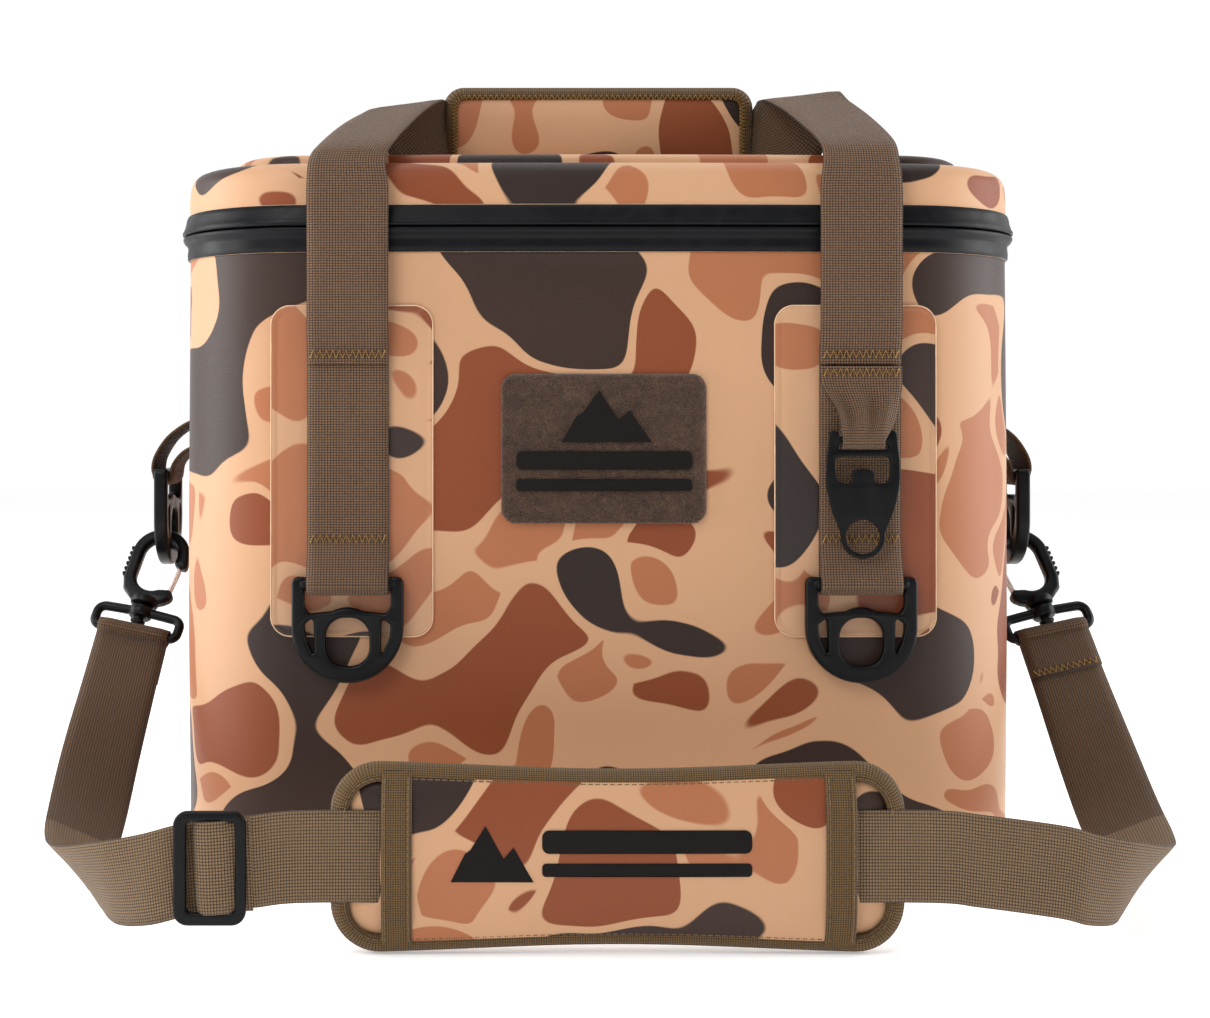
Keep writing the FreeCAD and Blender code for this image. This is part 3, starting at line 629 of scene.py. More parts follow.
def stitch_along(body, points, normals, length=3.2, gap=1.2, lift=0.15, thread="thread"):
    """A running seam: separate stitches that dip into the cloth at their ends."""
    at = lengths(points)
    position = 0.0

    def sample(d):
        for i in range(len(at) - 1):
            if at[i + 1] >= d:
                t = (d - at[i]) / max(at[i + 1] - at[i], 1e-6)
                normal = normals[i].lerp(normals[i + 1], t).normalized()
                return points[i].lerp(points[i + 1], t), normal
        return points[-1], normals[-1]

    while position + length < at[-1]:
        line = []
        for t, rise in ((0.0, -0.25), (0.15, lift), (0.85, lift), (1.0, -0.25)):
            p, n = sample(position + t * length)
            line.append(p + n * rise)
        threads.setdefault((body, thread), []).append(line)
        position += length + gap


def sew_all():
    """One object of stitches for each body and thread."""
    for (body, thread), lines in threads.items():
        curve = bpy.data.curves.new(f"{body}_{thread}", "CURVE")
        curve.dimensions = "3D"
        curve.bevel_depth = 0.33 * MM
        curve.bevel_resolution = 1
        for line in lines:
            spline = curve.splines.new("POLY")
            spline.points.add(len(line) - 1)
            for point, p in zip(spline.points, line):
                point.co = (p.x * MM, p.y * MM, p.z * MM, 1)
        curve.materials.append(MAT[thread])
        draft = link(bpy.data.objects.new(curve.name + "_draft", curve))
        mesh = baked(draft)
        bpy.data.objects.remove(draft)
        obj = link(bpy.data.objects.new(f"{body}_{thread}_stitching", mesh))
        settle(obj, body, "binding")


# ---------------------------------------------------------------- the box
def dented(x, y, z, amount=0.45):
    return amount * noise.noise(Vector((x * 0.012, y * 0.012, z * 0.012)))


def shell_rows(profile):
    """Rows round the bag for a profile of (offset, height)."""
    return [[Vector((x, y, z)) for x, y in plan_outline(offset)] for offset, z in profile]


def outline_steps():
    loop = [Vector((x, y, 0)) for x, y in plan_outline(0)]
    return lengths(loop + [loop[0]])


def wall_row(z):
    """One level of the walls, faintly dented."""
    row = []
    for x, y in plan_outline(swell(z)):
        outward = Vector((x / HALF_W, y / HALF_D, 0)).normalized()
        row.append(Vector((x, y, z)) + outward * dented(x, y, z))
    return row


def bag_walls():
    """Base and walls in one skin, with a groove at the seam above the base."""
    r = 12.0
    profile = [(-126, 0.4), (-90, 0.2), (-40, 0.1), (-16, 0.0)]
    profile += [(-r + r * math.sin(a), r - r * math.cos(a)) for a in angles(0, 11.25, 9)]
    seam = len(profile)
    profile += [(0.1, 13.4), (-0.5, 14.0), (0.1, 14.6)]
    rows = shell_rows(profile)
    rows += [wall_row(18 + (BAND_LOW - 20) * k / 34) for k in range(35)]
    rows += shell_rows([(0.2, BAND_LOW - 0.8), (-0.6, BAND_LOW + 0.3)])
    vs = lengths([row[0] for row in rows])
    vs = [v - vs[seam] for v in vs]
    obj = surface("bag_walls", rows, MAT["wall"], outline_steps(), vs, closed=True, cap=(True, False))
    return settle(obj, "cooler_box", "camo_fabric", "wall_panel", "base_panel")


def edge_line(name, points, body, radius=0.35):
    """The pale raw edge of cut fabric, along a closed line."""
    line = tube(name, points, radius, MAT["raw_edge"], closed=True, sides=6)
    return settle(line, body, "camo_fabric")


def lid():
    """The lid's side with its rounded edge, its raised top and the raw edges of the fabric."""
    r = 8.5
    low = [(0.2, ZIP_Z + 0.7), (0.3, BAND_TOP - 0.6), (0.3, BAND_TOP + 0.6), (0.4, 326), (0.4, 330)]
    edge = [(-r + r * math.cos(a), LID_TOP - r + r * math.sin(a)) for a in angles(0, 15, 7)]
    shelf = [(-13, LID_TOP + 0.1), (-18, LID_TOP - 0.1), (-21.5, LID_TOP - 0.7), (-23.4, LID_TOP - 0.4)]
    rows = shell_rows(low + edge + shelf)
    vs = lengths([row[0] for row in rows])
    side = surface("lid_side", rows, MAT["lid"], outline_steps(), vs, closed=True)
    settle(side, "lid", "camo_fabric", "lid_shell")
    rise = [(-22.6, -0.5), (-23.2, 1.2), (-23.6, 3.6), (-24.6, 5.4), (-27.0, 6.6)]
    flat = [(-31, -0.1), (-36, 0.1), (-60, 0.2), (-90, 0.2), (-124, 0.2)]
    profile = [(offset, LID_TOP + z) for offset, z in rise]
    profile += [(offset, RAISED_TOP + z) for offset, z in flat]
    top = surface("lid_raised_top", shell_rows(profile), MAT["lid_top"], closed=True, cap=(False, True))
    settle(planar_uv(top), "lid", "camo_fabric", "lid_panel")
    for name, body, offset, z in (
        ("lid_top_edge_line", "lid", -23.2, LID_TOP + 0.2),
        ("lid_low_edge_line", "lid", 0.5, BAND_TOP + 0.2),
        ("wall_edge_line", "cooler_box", 0.5, BAND_LOW - 0.4),
    ):
        edge_line(name, shell_rows([(offset, z)])[0], body)


def front_and_sides(points, back_y=70.0):
    """The part of a loop in front of back_y, from the rear right round the front to the rear left."""
    count = len(points)
    start = max(range(count), key=lambda i: (points[i][0] > 0) * 1000 - abs(points[i][1] - back_y))
    ordered = [points[(start - i) % count] for i in range(count)]
    return [p for p in ordered if p[1] <= back_y][::-1]


def band(name, profile, body, *nodes):
    """Half of the rubber zipper band."""
    rows = [[Vector((x, y, z)) for x, y in front_and_sides(plan_outline(offset))] for offset, z in profile]
    obj = surface(name, rows, MAT["rubber"], lengths(rows[0]), lengths([row[0] for row in rows]))
    return settle(obj, body, "black_rubber", *nodes)


def zipper():
    """The band's two halves, as (offset, height) profiles that meet at the zipper."""
    low = [(-0.4, 300.0), (0.9, 300.2), (1.5, 301.0), (1.6, 303.6), (1.3, 305.8), (1.6, 307.6)]
    low += [(2.9, 308.8), (3.7, 310.2), (3.8, 311.2), (3.2, 311.7), (0.6, 311.75), (-4.0, 311.7)]
    high = [(-4.0, 312.3), (0.6, 312.25), (3.2, 312.3), (4.0, 312.9), (4.1, 314.0), (3.4, 315.2)]
    high += [(2.6, 317.5), (2.1, 320.0), (1.5, 321.7), (0.8, 322.3), (-0.4, 322.4)]
    band("lower_band", low, "cooler_box", "lower_zipper_band")
    band("upper_band", high, "lid", "upper_zipper_band")


def teeth(name, z, body, node):
    """Moulded zipper teeth along the front and sides."""
    loop = [Vector((x, y, z)) for x, y in front_and_sides(plan_outline(0.4))]
    at = lengths(loop)
    verts, faces = [], []
    count = int(at[-1] / 2.6)
    for i in range(count):
        d = at[-1] * i / count
        k = next(j for j in range(len(at) - 1) if at[j + 1] >= d)
        along = (loop[k + 1] - loop[k]).normalized()
        out = along.cross(Z_AXIS)
        centre = loop[k].lerp(loop[k + 1], (d - at[k]) / (at[k + 1] - at[k])) + out * 0.6
        base = len(verts)
        for dz in (-1.1, 1.1):
            for du, dv in ((-0.7, -0.8), (0.7, -0.8), (0.7, 0.8), (-0.7, 0.8)):
                verts.append(centre + along * du + out * dv + Z_AXIS * dz)
        for quad in ((3, 2, 1, 0), (4, 5, 6, 7), (0, 1, 5, 4), (1, 2, 6, 5), (2, 3, 7, 6), (3, 0, 4, 7)):
            faces.append(tuple(base + q for q in quad))
    obj = new_object(name, verts, faces, MAT["coil"], sharp=30)
    return settle(obj, body, "black_plastic", node)


def wall_point(x, z, out):
    """A point that stands out from the front wall."""
    return Vector((x, -(wall_y(x) + swell(z) + out), z))


def inset_loop(shape, inset, least=1.5):
    """The loop of a rounded rectangle (cx, cz, w, h, r) drawn in by inset."""
    cx, cz, w, h, r = shape
    return rounded_loop(cx, cz, w - 2 * inset, h - 2 * inset, max(r - inset, least))


def wall_piece(name, shape, profile, material):
    """A patch on the front wall. profile holds (inset, height above the wall)."""
    rows = [[wall_point(x, z, out) for x, z in inset_loop(shape, inset)] for inset, out in profile]
    return planar_uv(surface(name, rows, material, closed=True, cap=(False, True)), 0, 2)


def patches():
    """A patch under each handle's foot, in front and at the rear, with its raw edge."""
    profile = [(0, 0.0), (0.15, 0.9), (0.8, 1.1), (2.0, 1.0), (2.7, 0.75), (3.6, 0.95)]
    profile += [(8, 1.0), (16, 1.0), (26, 1.0), (34, 1.0)]
    for side, where in SIDES:
        shape = (side * PATCH[0], *PATCH[1:])
        front = wall_piece(f"front_{where}_patch", shape, profile, MAT["patch"])
        line = [wall_point(x, z, 0.9) for x, z in rounded_loop(*shape)]
        trim = edge_line(f"front_{where}_patch_edge", line, "cooler_box", 0.32)
        rear = mirror(front, f"rear_{where}_patch", 1)
        rear_trim = mirror(trim, f"rear_{where}_patch_edge", 1)
        settle(front, "cooler_box", "camo_fabric", *(["front_patches"] if side < 0 else []))
        settle(rear, "cooler_box", "camo_fabric", *(["rear_patches"] if side < 0 else []))
        settle(rear_trim, "cooler_box", "camo_fabric")


def side_patches():
    """A smaller patch on each side, behind the side ring."""
    profile = [(0, 0.0), (0.2, 0.8), (1.0, 1.0), (2.6, 0.75), (3.6, 0.95), (12, 1.0), (24, 1.0), (30, 1.0)]
    rows = []
    for inset, out in profile:
        rows.append([Vector((-(HALF_W + swell(z) + out), -y, z)) for y, z in inset_loop(SIDE_PATCH, inset)])
    left = surface("left_side_patch_skin", rows, MAT["patch"], closed=True, cap=(False, True))
    planar_uv(left, 1, 2)
    right = mirror(left, "right_side_patch_skin", 0)
    settle(left, "cooler_box", "camo_fabric", "left_side_patch")
    settle(right, "cooler_box", "camo_fabric", "right_side_patch")


def pile():
    """The loop patch: a low pad with a soft edge and a slightly uneven face."""
    profile = [(0, 0.3), (0.2, 1.6), (1.0, 2.3)] + [(2.0 + 1.6 * k, 2.5) for k in range(19)]
    obj = wall_piece("loop_patch", PILE, profile, MAT["pile"])
    for v in obj.data.vertices:
        p = v.co / MM
        fuzz = 0.35 * noise.noise(Vector((p.x * 0.9, 0, p.z * 0.9)))
        fuzz += 0.25 * noise.noise(Vector((p.x * 2.3, 7, p.z * 2.3)))
        v.co.y -= fuzz * MM
    return settle(obj, "cooler_box", "pile", "pile_patch")


def pile_hairs():
    """Short curled loops all over the patch, so that its edge and face are really fuzzy."""
    _, middle, width, height, r = PILE
    verts, faces = [], []
    step = 1.15
    for i in range(int((width - 1) / step)):
        for k in range(int((height - 1) / step)):
            x = (1 - width) / 2 + i * step + 0.5 * noise.noise(Vector((i * 0.7, k * 0.9, 1.0)))
            z = middle + (1 - height) / 2 + k * step + 0.5 * noise.noise(Vector((i * 0.8, k * 0.6, 5.0)))
            past_x, past_z = abs(x) - (width / 2 - r), abs(z - middle) - (height / 2 - r)
            if past_x > 0 and past_z > 0 and math.hypot(past_x, past_z) > r:
                continue
            turn = 6.28 * noise.noise(Vector((i * 1.7, k * 1.3, 9.0)))
            side = Vector((math.cos(turn), 0, math.sin(turn)))
            lean = Vector((side.z, 0, -side.x)) * 0.18
            base = wall_point(x, z, 2.1)
            top = base - Y_AXIS * 0.9
            loop = [base - side * 0.5, top - side * 0.6 + lean, top + side * 0.6 - lean, base + side * 0.5]
            start = len(verts)
            for p in loop:
                verts += [p - lean, p + lean]
            for s in range(start, start + 6, 2):
                faces.append((s, s + 1, s + 3, s + 2))
    obj = new_object("loop_patch_pile", verts, faces, MAT["pile"])
    return settle(obj, "cooler_box", "pile")


# ---------------------------------------------------------------- webbing on the walls
def wall_surface(x, z):
    """Depth of a front patch's face."""
    return -(wall_y(x) + swell(z) + 1.0)


def anchor_stations():
    """Left front anchor: down the patch, round the ring's bar and up behind itself."""
    skin = wall_surface(-HANDLE_X, 200)
    front, back = skin - 1.5 * WEB_T, skin - 0.5 * WEB_T
    wrap = BAR_R + WRAP_GAP + WEB_T / 2
    line = [(front, z) for z in (256.5, 240, 215, 190, 172)] + [(front - 0.6, 164), (front - 3.0, 156)]
    line += [(BAR_Y + wrap * math.cos(a), RING_Z + wrap * math.sin(a)) for a in angles(168, 30, 7)]
    line += [(back - 0.3, 152), (back, 158), (back, 168), (back, 178)]
    return [(Vector((-HANDLE_X, y, z)), X_AXIS.copy()) for y, z in line]


def stitch_row(x, y, z, normal):
    """A row of zigzag stitches across webbing on the front or rear wall."""
    half = Vector((STITCH_HALF, 0, 0))
    middle = Vector((x, y, z))
    stitch_zigzag("cooler_box", middle - half, middle + half, normal)


def anchors():
    """Webbing that carries the four outer rings."""
    left = strap("front_left_webbing", anchor_stations(), MAT["webbing"], steps=4)
    right = mirror(left, "front_right_webbing", 0)
    for obj, side in ((left, "left"), (right, "right")):
        settle(mirror(obj, f"rear_{side}_webbing", 1), "cooler_box", "webbing", f"rear_{side}_anchor")
    settle(left, "cooler_box", "webbing", "front_left_anchor")
    settle(right, "cooler_box", "webbing", "front_right_anchor")
    for depth in (-1, 1):
        normal = Vector((0, depth, 0))
        for side in (-1, 1):
            y = depth * (-wall_surface(HANDLE_X, 160) + 2 * WEB_T + 0.45)
            stitch_row(side * HANDLE_X, y, STITCH_LOW, normal)
            stitch_row(side * HANDLE_X, y + depth * (WEB_T - 0.2), STITCH_HIGH, normal)


def opener_strap():
    """Narrowed loop that holds the opener. Its stations are (y, z, width, shift aside, fold depth)."""
    skin = wall_surface(HANDLE_X, 230) - 2 * WEB_T
    wrap = 2.5 + WEB_T / 2
    front = skin - 2.2
    line = [(front, 246.5, 38, 0, 0), (front, 242, 38, 0, 0), (skin - 2.6, 236, 36.5, 0.7, 0.6)]
    line += [(skin - 4.6, 226, 29, 2.4, 1.4), (OPENER_Y - wrap, OPENER_Z + 6, 24, 1.2, 1.0)]
    for a in angles(180, 34, 6):
        line.append((OPENER_Y + wrap * math.cos(a), OPENER_Z + wrap * math.sin(a), 19.8, 0, 0.1))
    line += [(skin - 1.4, 222, 20.2, 0, 0.3), (skin - 1.0, 234, 31, 0, 0.2), (skin - 1.0, 244, 37, 0, 0)]
    stations = [(Vector((HANDLE_X + aside, y, z)), X_AXIS.copy(), w) for y, z, w, aside, _ in line]
    folds = [f.x for f in catmull([Vector((fold, 0, 0)) for *_, fold in line], 5)]
    obj = strap("opener_webbing", stations, MAT["webbing"], steps=5, pucker=folds, cells=20)
    stitch_row(HANDLE_X, front - WEB_T / 2 - 0.15, 243.5, -Y_AXIS)
    return settle(obj, "cooler_box", "webbing", "opener_loop")


def side_loops():
    """Webbing that stands off each side and holds the side ring."""
    wrap = BAR_R + WRAP_GAP + WEB_T / 2
    line = [(-205.2, 231), (-205.4, 226), (-208.5, 222.5), (-216, 219), (-224.5, 212.5), (-230.5, 203.5)]
    line += [(-232.2, 197)]
    for a in angles(180, 30, 7):
        line.append((-SIDE_RING_X + wrap * math.cos(a), SIDE_RING_Z + wrap * math.sin(a)))
    line += [(-221.4, 198.5), (-216.5, 204.5), (-209.5, 207.5), (-205.6, 205), (-205.2, 200)]
    stations = [(point, -Y_AXIS) for point in upright(line, 0)]
    # painted shade: the side loops take the darker copy of the webbing
    left = strap("left_side_webbing", stations, MAT["shaded_webbing"], steps=4, thickness=2.6)
    right = mirror(left, "right_side_webbing", 0)
    settle(left, "cooler_box", "webbing", "left_side_loop")
    settle(right, "cooler_box", "webbing", "right_side_loop")
    for side in (-1, 1):
        ends = [Vector((side * 206.3, y, 229)) for y in (-17, 17)]
        stitch_zigzag("cooler_box", *ends, Vector((side, 0, 0)))


# ---------------------------------------------------------------- rings and opener
def ring_outlines(drop=0.0):
    """Outlines of a moulded ring without its bar: U-shaped frame, round hole and two side slots."""
    frame_line = arc(0, -20.0 - drop, 26, 180, 360, 40)
    frame_line += arc(22.8, 0.2, 3.2, 0, 90, 6) + [(20.0, 3.2), (20.0, -8.0)]
    frame_line += arc(14.5, -8.9, 5.5, 0, -60, 6)
    frame_line += arc(0, -25.75, 14.9, 62, 118, 10)
    frame_line += arc(-14.5, -8.9, 5.5, -120, -180, 6) + [(-20.0, 3.2)] + arc(-22.8, 0.2, 3.2, 90, 180, 6)
    hole = rounded_loop(0, -26.9 - drop, 20.4, 22.6, 9.0, 10, 2)
    slot = [(15.8, -18.0)] + arc(16.9, -17.6, 1.1, 160, 60, 4) + arc(0, -20.0, 19.9, 4, -31, 8)
    slot += arc(16.4, -30.8, 1.0, -70, -180, 4)
    other = [(-x, z) for x, z in reversed(slot)]
    return [frame_line, hole, slot, other]


def ring(name, thickness=6.0, drop=0.0):
    plate = moulding(name, ring_outlines(drop), thickness, 1.5, MAT["plastic"])
    line = [Vector((x, 0, 0)) for x in (-22, -20, 0, 20, 22)]
    bar = tube(name + "_bar", line, BAR_R, MAT["plastic"], sides=20)
    return join(name, [plate, bar])


def rings():
    first = ring("ring_draft")
    for face, depth in FACES:
        for side, where in SIDES:
            body = f"{face}_{where}_ring"
            obj = copy_of(first, f"{body}_moulding")
            moved(obj, Matrix.Translation((side * HANDLE_X, -depth * BAR_Y, RING_Z)))
            settle(obj, body, "black_plastic", body)
    turned = Matrix.Rotation(math.radians(90), 4, "Z")
    for side, where in SIDES:
        body = f"{where}_side_ring"
        obj = ring(f"{body}_moulding", 7.0, 2.5)
        moved(obj, Matrix.Translation((side * SIDE_RING_X, 0, SIDE_RING_Z)) @ turned)
        settle(obj, body, "black_plastic", body)
    bpy.data.objects.remove(first)


def opener():
    """Flat bottle opener with a slot for its webbing, a toothed mouth and a key hole."""
    flank = [(15.9, 0.6), (16.2, -3), (16.7, -7), (17.1, -12), (17.2, -17), (16.6, -23)]
    flank += [(15.4, -29), (13.5, -35), (11.2, -40.5)]
    body = [(11.0, 1.7), (11.5, 3.2)] + arc(13.5, 2.4, 2.1, 150, 10, 6) + flank
    body += arc(0, -44.8, 10.2, 8, -188, 24)
    body += [(-x, z) for x, z in reversed(flank)] + arc(-13.5, 2.4, 2.1, 170, 30, 6)
    body += [(-11.5, 3.2), (-11.0, 1.7)]
    half = [(0, -13.4), (3.0, -13.6), (4.9, -14.8), (5.4, -16.6), (5.0, -18.4), (5.9, -19.8)]
    half += arc(8.6, -16.4, 3.8, -110, 0, 8) + [(12.8, -12.0), (12.7, -9.9)]
    half += arc(10.6, -9.7, 2.1, 0, 90, 5)
    mouth = half + [(-x, z) for x, z in reversed(half[1:])]
    slot = rounded_loop(0, -3.15, 23.0, 3.2, 1.2, 4, 2)
    key_hole = arc(0, -44.8, 8.0, 0, 345, 23)
    obj = moulding("opener_plate", [body, slot, mouth, key_hole], 3.0, 0.7, MAT["plastic"])
    moved(obj, Matrix.Translation((HANDLE_X, OPENER_Y, OPENER_Z)))
    return settle(obj, "bottle_opener", "black_plastic", "bottle_opener")


# ---------------------------------------------------------------- handles
def handle_edges(side):
    """One riser's outer and inner edge lines: foot, run over the lid, diagonal fold, end in the grip."""
    foot = wall_surface(HANDLE_X, 250) - 2.5 * WEB_T
    riser = [(foot, 247.5), (foot - 0.2, 254), (-142.0, 263), (-142.6, 285), (-142.8, 310), (-142.6, 330)]
    outer = [Vector((side * (HANDLE_X + 19), y, z)) for y, z in riser]
    inner = [Vector((side * (HANDLE_X - 19), y, z)) for y, z in riser]
    outer_run = [(139.5, -140.2, 343), (137.0, -131, 351), (131.5, -98, 364.5), (125.5, -66, 375.5)]
    outer_run += [(121, -47, 381.0)]
    inner_run = [(102.0, -140.5, 343.5), (100.0, -132, 352.5), (95.5, -98, 366.0), (90.5, -58, 380.0)]
    inner_run += [(85.5, -22, 390.5)]
    lift = 2.2 * (1 + side) / 2
    for k, (x, y, z) in enumerate(outer_run):
        outer.append(Vector((side * (x - 2) + HANDLE_LEAN * k / 4, y, z + lift * k)))
    for k, (x, y, z) in enumerate(inner_run):
        inner.append(Vector((side * x + HANDLE_LEAN * k / 4, y, z)))
    outer_end = [(117.5, -42, 371), (107, -38, 354), (91, -24, 351.6), (76, -7.5, 351.6)]
    inner_end = [(83, -14, 391.5), (82, -9.5, 389.5), (80, -7, 387), (74, -5.5, 384)]
    outer += [Vector((side * x + HANDLE_LEAN, y, z)) for x, y, z in outer_end]
    inner += [Vector((side * x + HANDLE_LEAN, y, z)) for x, y, z in inner_end]
    return catmull(outer, 6), catmull(inner, 6)


def handle(face):
    """The two risers of a handle. Past the fold the webbing's inner face shows, darkened there as painted
    shade.
    """
    objs = []
    for side, where in SIDES:
        edges = handle_edges(side)
        obj = webbing(f"{face}_{where}_handle_webbing", *edges[::-side], MAT["webbing"])
        # painted shade on the rows past the fold
        repaint_rows(obj, MAT["shaded_webbing"], lambda row: row > FOLD_ROW)
        objs.append(obj)
    return objs


def handles():
    for face, depth in FACES:
        for i, obj in enumerate(handle(face)):
            if depth > 0:
                obj = mirror_in_place(obj, 1)
            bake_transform(obj)
            if i == 0:
                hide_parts(f"{face}_risers", f"{face}_handle_strap")


def mirror_in_place(obj, axis):
    return moved(obj, flip(axis))


def puffed(obj, cap, pressure=4.0):
    """Inflates a closed pad as cloth under pressure, with each point's travel capped."""
    rest = [v.co.copy() for v in obj.data.vertices]
    cloth = obj.modifiers.new("Cloth", "CLOTH")
    cloth.settings.use_pressure = True
    cloth.settings.uniform_pressure_force = pressure
    cloth.settings.effector_weights.gravity = 0.0
    cloth.settings.tension_stiffness = 40
    cloth.settings.bending_stiffness = 4
    cloth.point_cache.frame_start = 1
    cloth.point_cache.frame_end = 20
    scene = bpy.context.scene
    for frame_number in range(1, 21):
        scene.frame_set(frame_number)
    graph = bpy.context.evaluated_depsgraph_get()
    moved_points = [v.co.copy() for v in obj.evaluated_get(graph).data.vertices]
    obj.modifiers.remove(cloth)
    scene.frame_set(1)
    for vertex, start, end in zip(obj.data.vertices, rest, moved_points):
        travel = end - start
        if travel.length > cap * MM:
            travel *= cap * MM / travel.length
        vertex.co = start + travel
    return obj


def cushion(name, cx, cz, w, h, r, y_front, y_back, crown, material):
    """A closed padded panel in the xz plane, crowned on its front face."""
    shape = (cx, cz, w, h, r)
    edge = ((14, 1.0), (6, 1.0), (1.5, 0.92), (0, 0.6), (0, 0.4), (1.2, 0.12), (4, 0.0), (9, -0.1))
    depth = y_back - y_front
    rows = [upright(inset_loop(shape, inset, 2), y_front + depth * share) for inset, share in edge]
    inset = 14
    while inset < h / 2 - 1:
        t = min(inset / (h / 2), 1)
        rows.append(upright(inset_loop(shape, inset, 1), y_front - crown * math.sin(t * math.pi / 2)))
        inset += 5
    return surface(name, rows, material, closed=True, cap=(True, True))


def remeshed(obj, voxel=4.5):
    """Voxel remesh, applied."""
    modifier = obj.modifiers.new("Remesh", "REMESH")
    modifier.mode = "VOXEL"
    modifier.voxel_size = voxel * MM
    modifier.use_smooth_shade = True
    mesh = baked(obj)
    material = obj.data.materials[0]
    obj.modifiers.clear()
    obj.data = mesh
    mesh.materials.clear()
    mesh.materials.append(material)
    return obj


def subdivided(obj, levels=1):
    """Subdivision, applied."""
    modifier = obj.modifiers.new("Subdivision", "SUBSURF")
    modifier.levels = levels
    modifier.render_levels = levels
    mesh = baked(obj)
    obj.modifiers.clear()
    obj.data = mesh
    mesh.polygons.foreach_set("use_smooth", [True] * len(mesh.polygons))
    return obj


def padded(obj, cap):
    remeshed(obj)
    puffed(obj, cap)
    subdivided(obj)
    return obj


def binding(name, cx, cz, w, h, r, profile, material, open_below=None):
    """Tape folded over a padded edge. profile holds (inset, y) from the front flange round to the back."""
    rows = []
    for inset, y in profile:
        loop = rounded_loop(cx, cz, w - 2 * inset, h - 2 * inset, max(r - inset, 1.5), 12, 24)
        rows.append(upright(loop, y))
    closed = open_below is None
    if not closed:
        widest = rows[min(range(len(rows)), key=lambda i: profile[i][0])]
        keep = [i for i, p in enumerate(widest) if p.z > open_below]
        start = next(i for i in keep if (i - 1) % len(rows[0]) not in keep)
        order = [(start + k) % len(rows[0]) for k in range(len(keep))]
        rows = [[row[i] for i in order] for row in rows]
    across = lengths([row[0] for row in rows])
    along = lengths(rows[1] + [rows[1][0]] if closed else rows[1])
    return surface(name, rows, material, along, across, closed=closed)


def grips():
    """Padded halves of the carry grip with bound top and sides."""
    height = GRIP_HIGH - GRIP_LOW
    middle = (GRIP_LOW + GRIP_HIGH) / 2
    width = 2 * GRIP_HALF
    profile = [(7.6, -13.6), (7.0, -14.9), (3.0, -14.4), (0.6, -11.8), (0.0, -9.0), (0.4, -6.4)]
    profile += [(2.5, -5.2), (7.0, -5.0)]
    seam = rounded_loop(GRIP_X, middle, width - 12.4, height - 12.4, 6, 12, 24)
    for face, depth in FACES:
        body = f"{face}_handle"
        shape = (GRIP_X, middle, width - 7, height - 5, 8)
        pad = cushion(f"{face}_grip_cushion", *shape, -14.0, -4.7, 1.2, MAT["grip"])
        shape = (GRIP_X, middle, width, height, 11)
        tape = binding(f"{face}_grip_tape", *shape, profile, MAT["binding"], open_below=GRIP_LOW + 3)
        shape = (GRIP_X, 378.5, 136, 12, 2)
        closing = cushion(f"{face}_grip_closure", *shape, -2.3, -0.3, 0.0, MAT["pile"])
        if depth > 0:
            for obj in (pad, tape, closing):
                mirror_in_place(obj, 1)
        padded(pad, 3.0)
        settle(pad, body, "camo_fabric", f"{face}_grip_pad")
        settle(tape, body, "binding", f"{face}_grip_binding")
        settle(closing, body, "pile", f"{face}_grip_strip")
        line = [p for p in upright(seam, depth * 15.2) if p.z > GRIP_LOW + 8]
        stitch_loop(body, line, Vector((0, depth, 0)))


def stitch_loop(body, points, normal, width=2.6, pitch=1.5, thread="thread"):
    """Zigzag stitches that follow a line of points, leaving out long jumps."""
    line = []
    for a, b in zip(points, points[1:]):
        if (b - a).length > 25:
            continue
        along = (b - a).normalized()
        across = normal.cross(along) * (width / 2)
        count = max(1, round((b - a).length / pitch))
        for i in range(count):
            sign = 1 if len(line) % 2 else -1
            line.append(a.lerp(b, i / count) + across * sign + normal * 0.05)
    threads.setdefault((body, thread), []).append(line)


# ---------------------------------------------------------------- hooks
def hook_matrix(side):
    place = (
        Matrix.Translation((-SIDE_RING_X, 0, HOOK_Z))
        @ Matrix.Rotation(math.radians(-HOOK_LEAN), 4, "X")
        @ Matrix.Rotation(math.radians(HOOK_TILT), 4, "Y")
    )
    return Matrix.Diagonal((-1, 1, 1, 1)) @ place if side > 0 else place


def hook_shape():
    """C-shaped snap hook with thumb ribs, gate lug, collar and swivel stem."""
    outer = [(15.9, -16.0), (15.6, -12.2)] + arc(0, -12.2, 15.4, 8, 180, 26)
    outer += [(-15.2, -29), (-13.2, -35.5), (-9.0, -39), (-6.6, -41), (6.6, -41), (10.0, -39.4)]
    outer += [(12.8, -37.2), (13.4, -34.6), (11.4, -32.4), (8.4, -31.8)]
    inner = arc(0, -25, 9.0, -56, -180, 14) + arc(0, -12.2, 9.0, 180, 0, 20)
    inner += [(8.8, -15.6), (10.2, -17.0), (13.0, -17.8), (15.2, -17.6)]
    frame_part = moulding("hook_frame", [outer + inner], 7.0, 2.0, MAT["plastic"])
    collar_profile = [(2, -38), (7.2, -38.6), (7.6, -40.4), (7.0, -42.2), (5.2, -43.0), (2.7, -43.4)]
    collar_profile += [(2.6, -51.2), (4.0, -51.6), (3.9, -52.2), (1.7, -54.4)]
    collar = lathe("hook_collar", collar_profile, MAT["plastic"])
    lug_profile = [(1.5, -3.2), (2.6, -3.0), (2.9, -2.2), (2.9, 2.2), (2.6, 3.0), (1.5, 3.2)]
    lug = lathe("hook_lug", lug_profile, MAT["plastic"])
    moved(lug, Matrix.Translation(GATE_FOOT) @ Matrix.Rotation(math.radians(90), 4, "X"))
    ribs = []
    for k in range(6):
        foot = Vector((-15.5, 0, -11.5 - 3.1 * k))
        line = [foot - Y_AXIS * 2.5, foot, foot + Y_AXIS * 2.5]
        ribs.append(tube(f"hook_rib_{k}", line, 1.0, MAT["plastic"], sides=8))
    return join("hook_draft", [frame_part, collar, lug] + ribs)


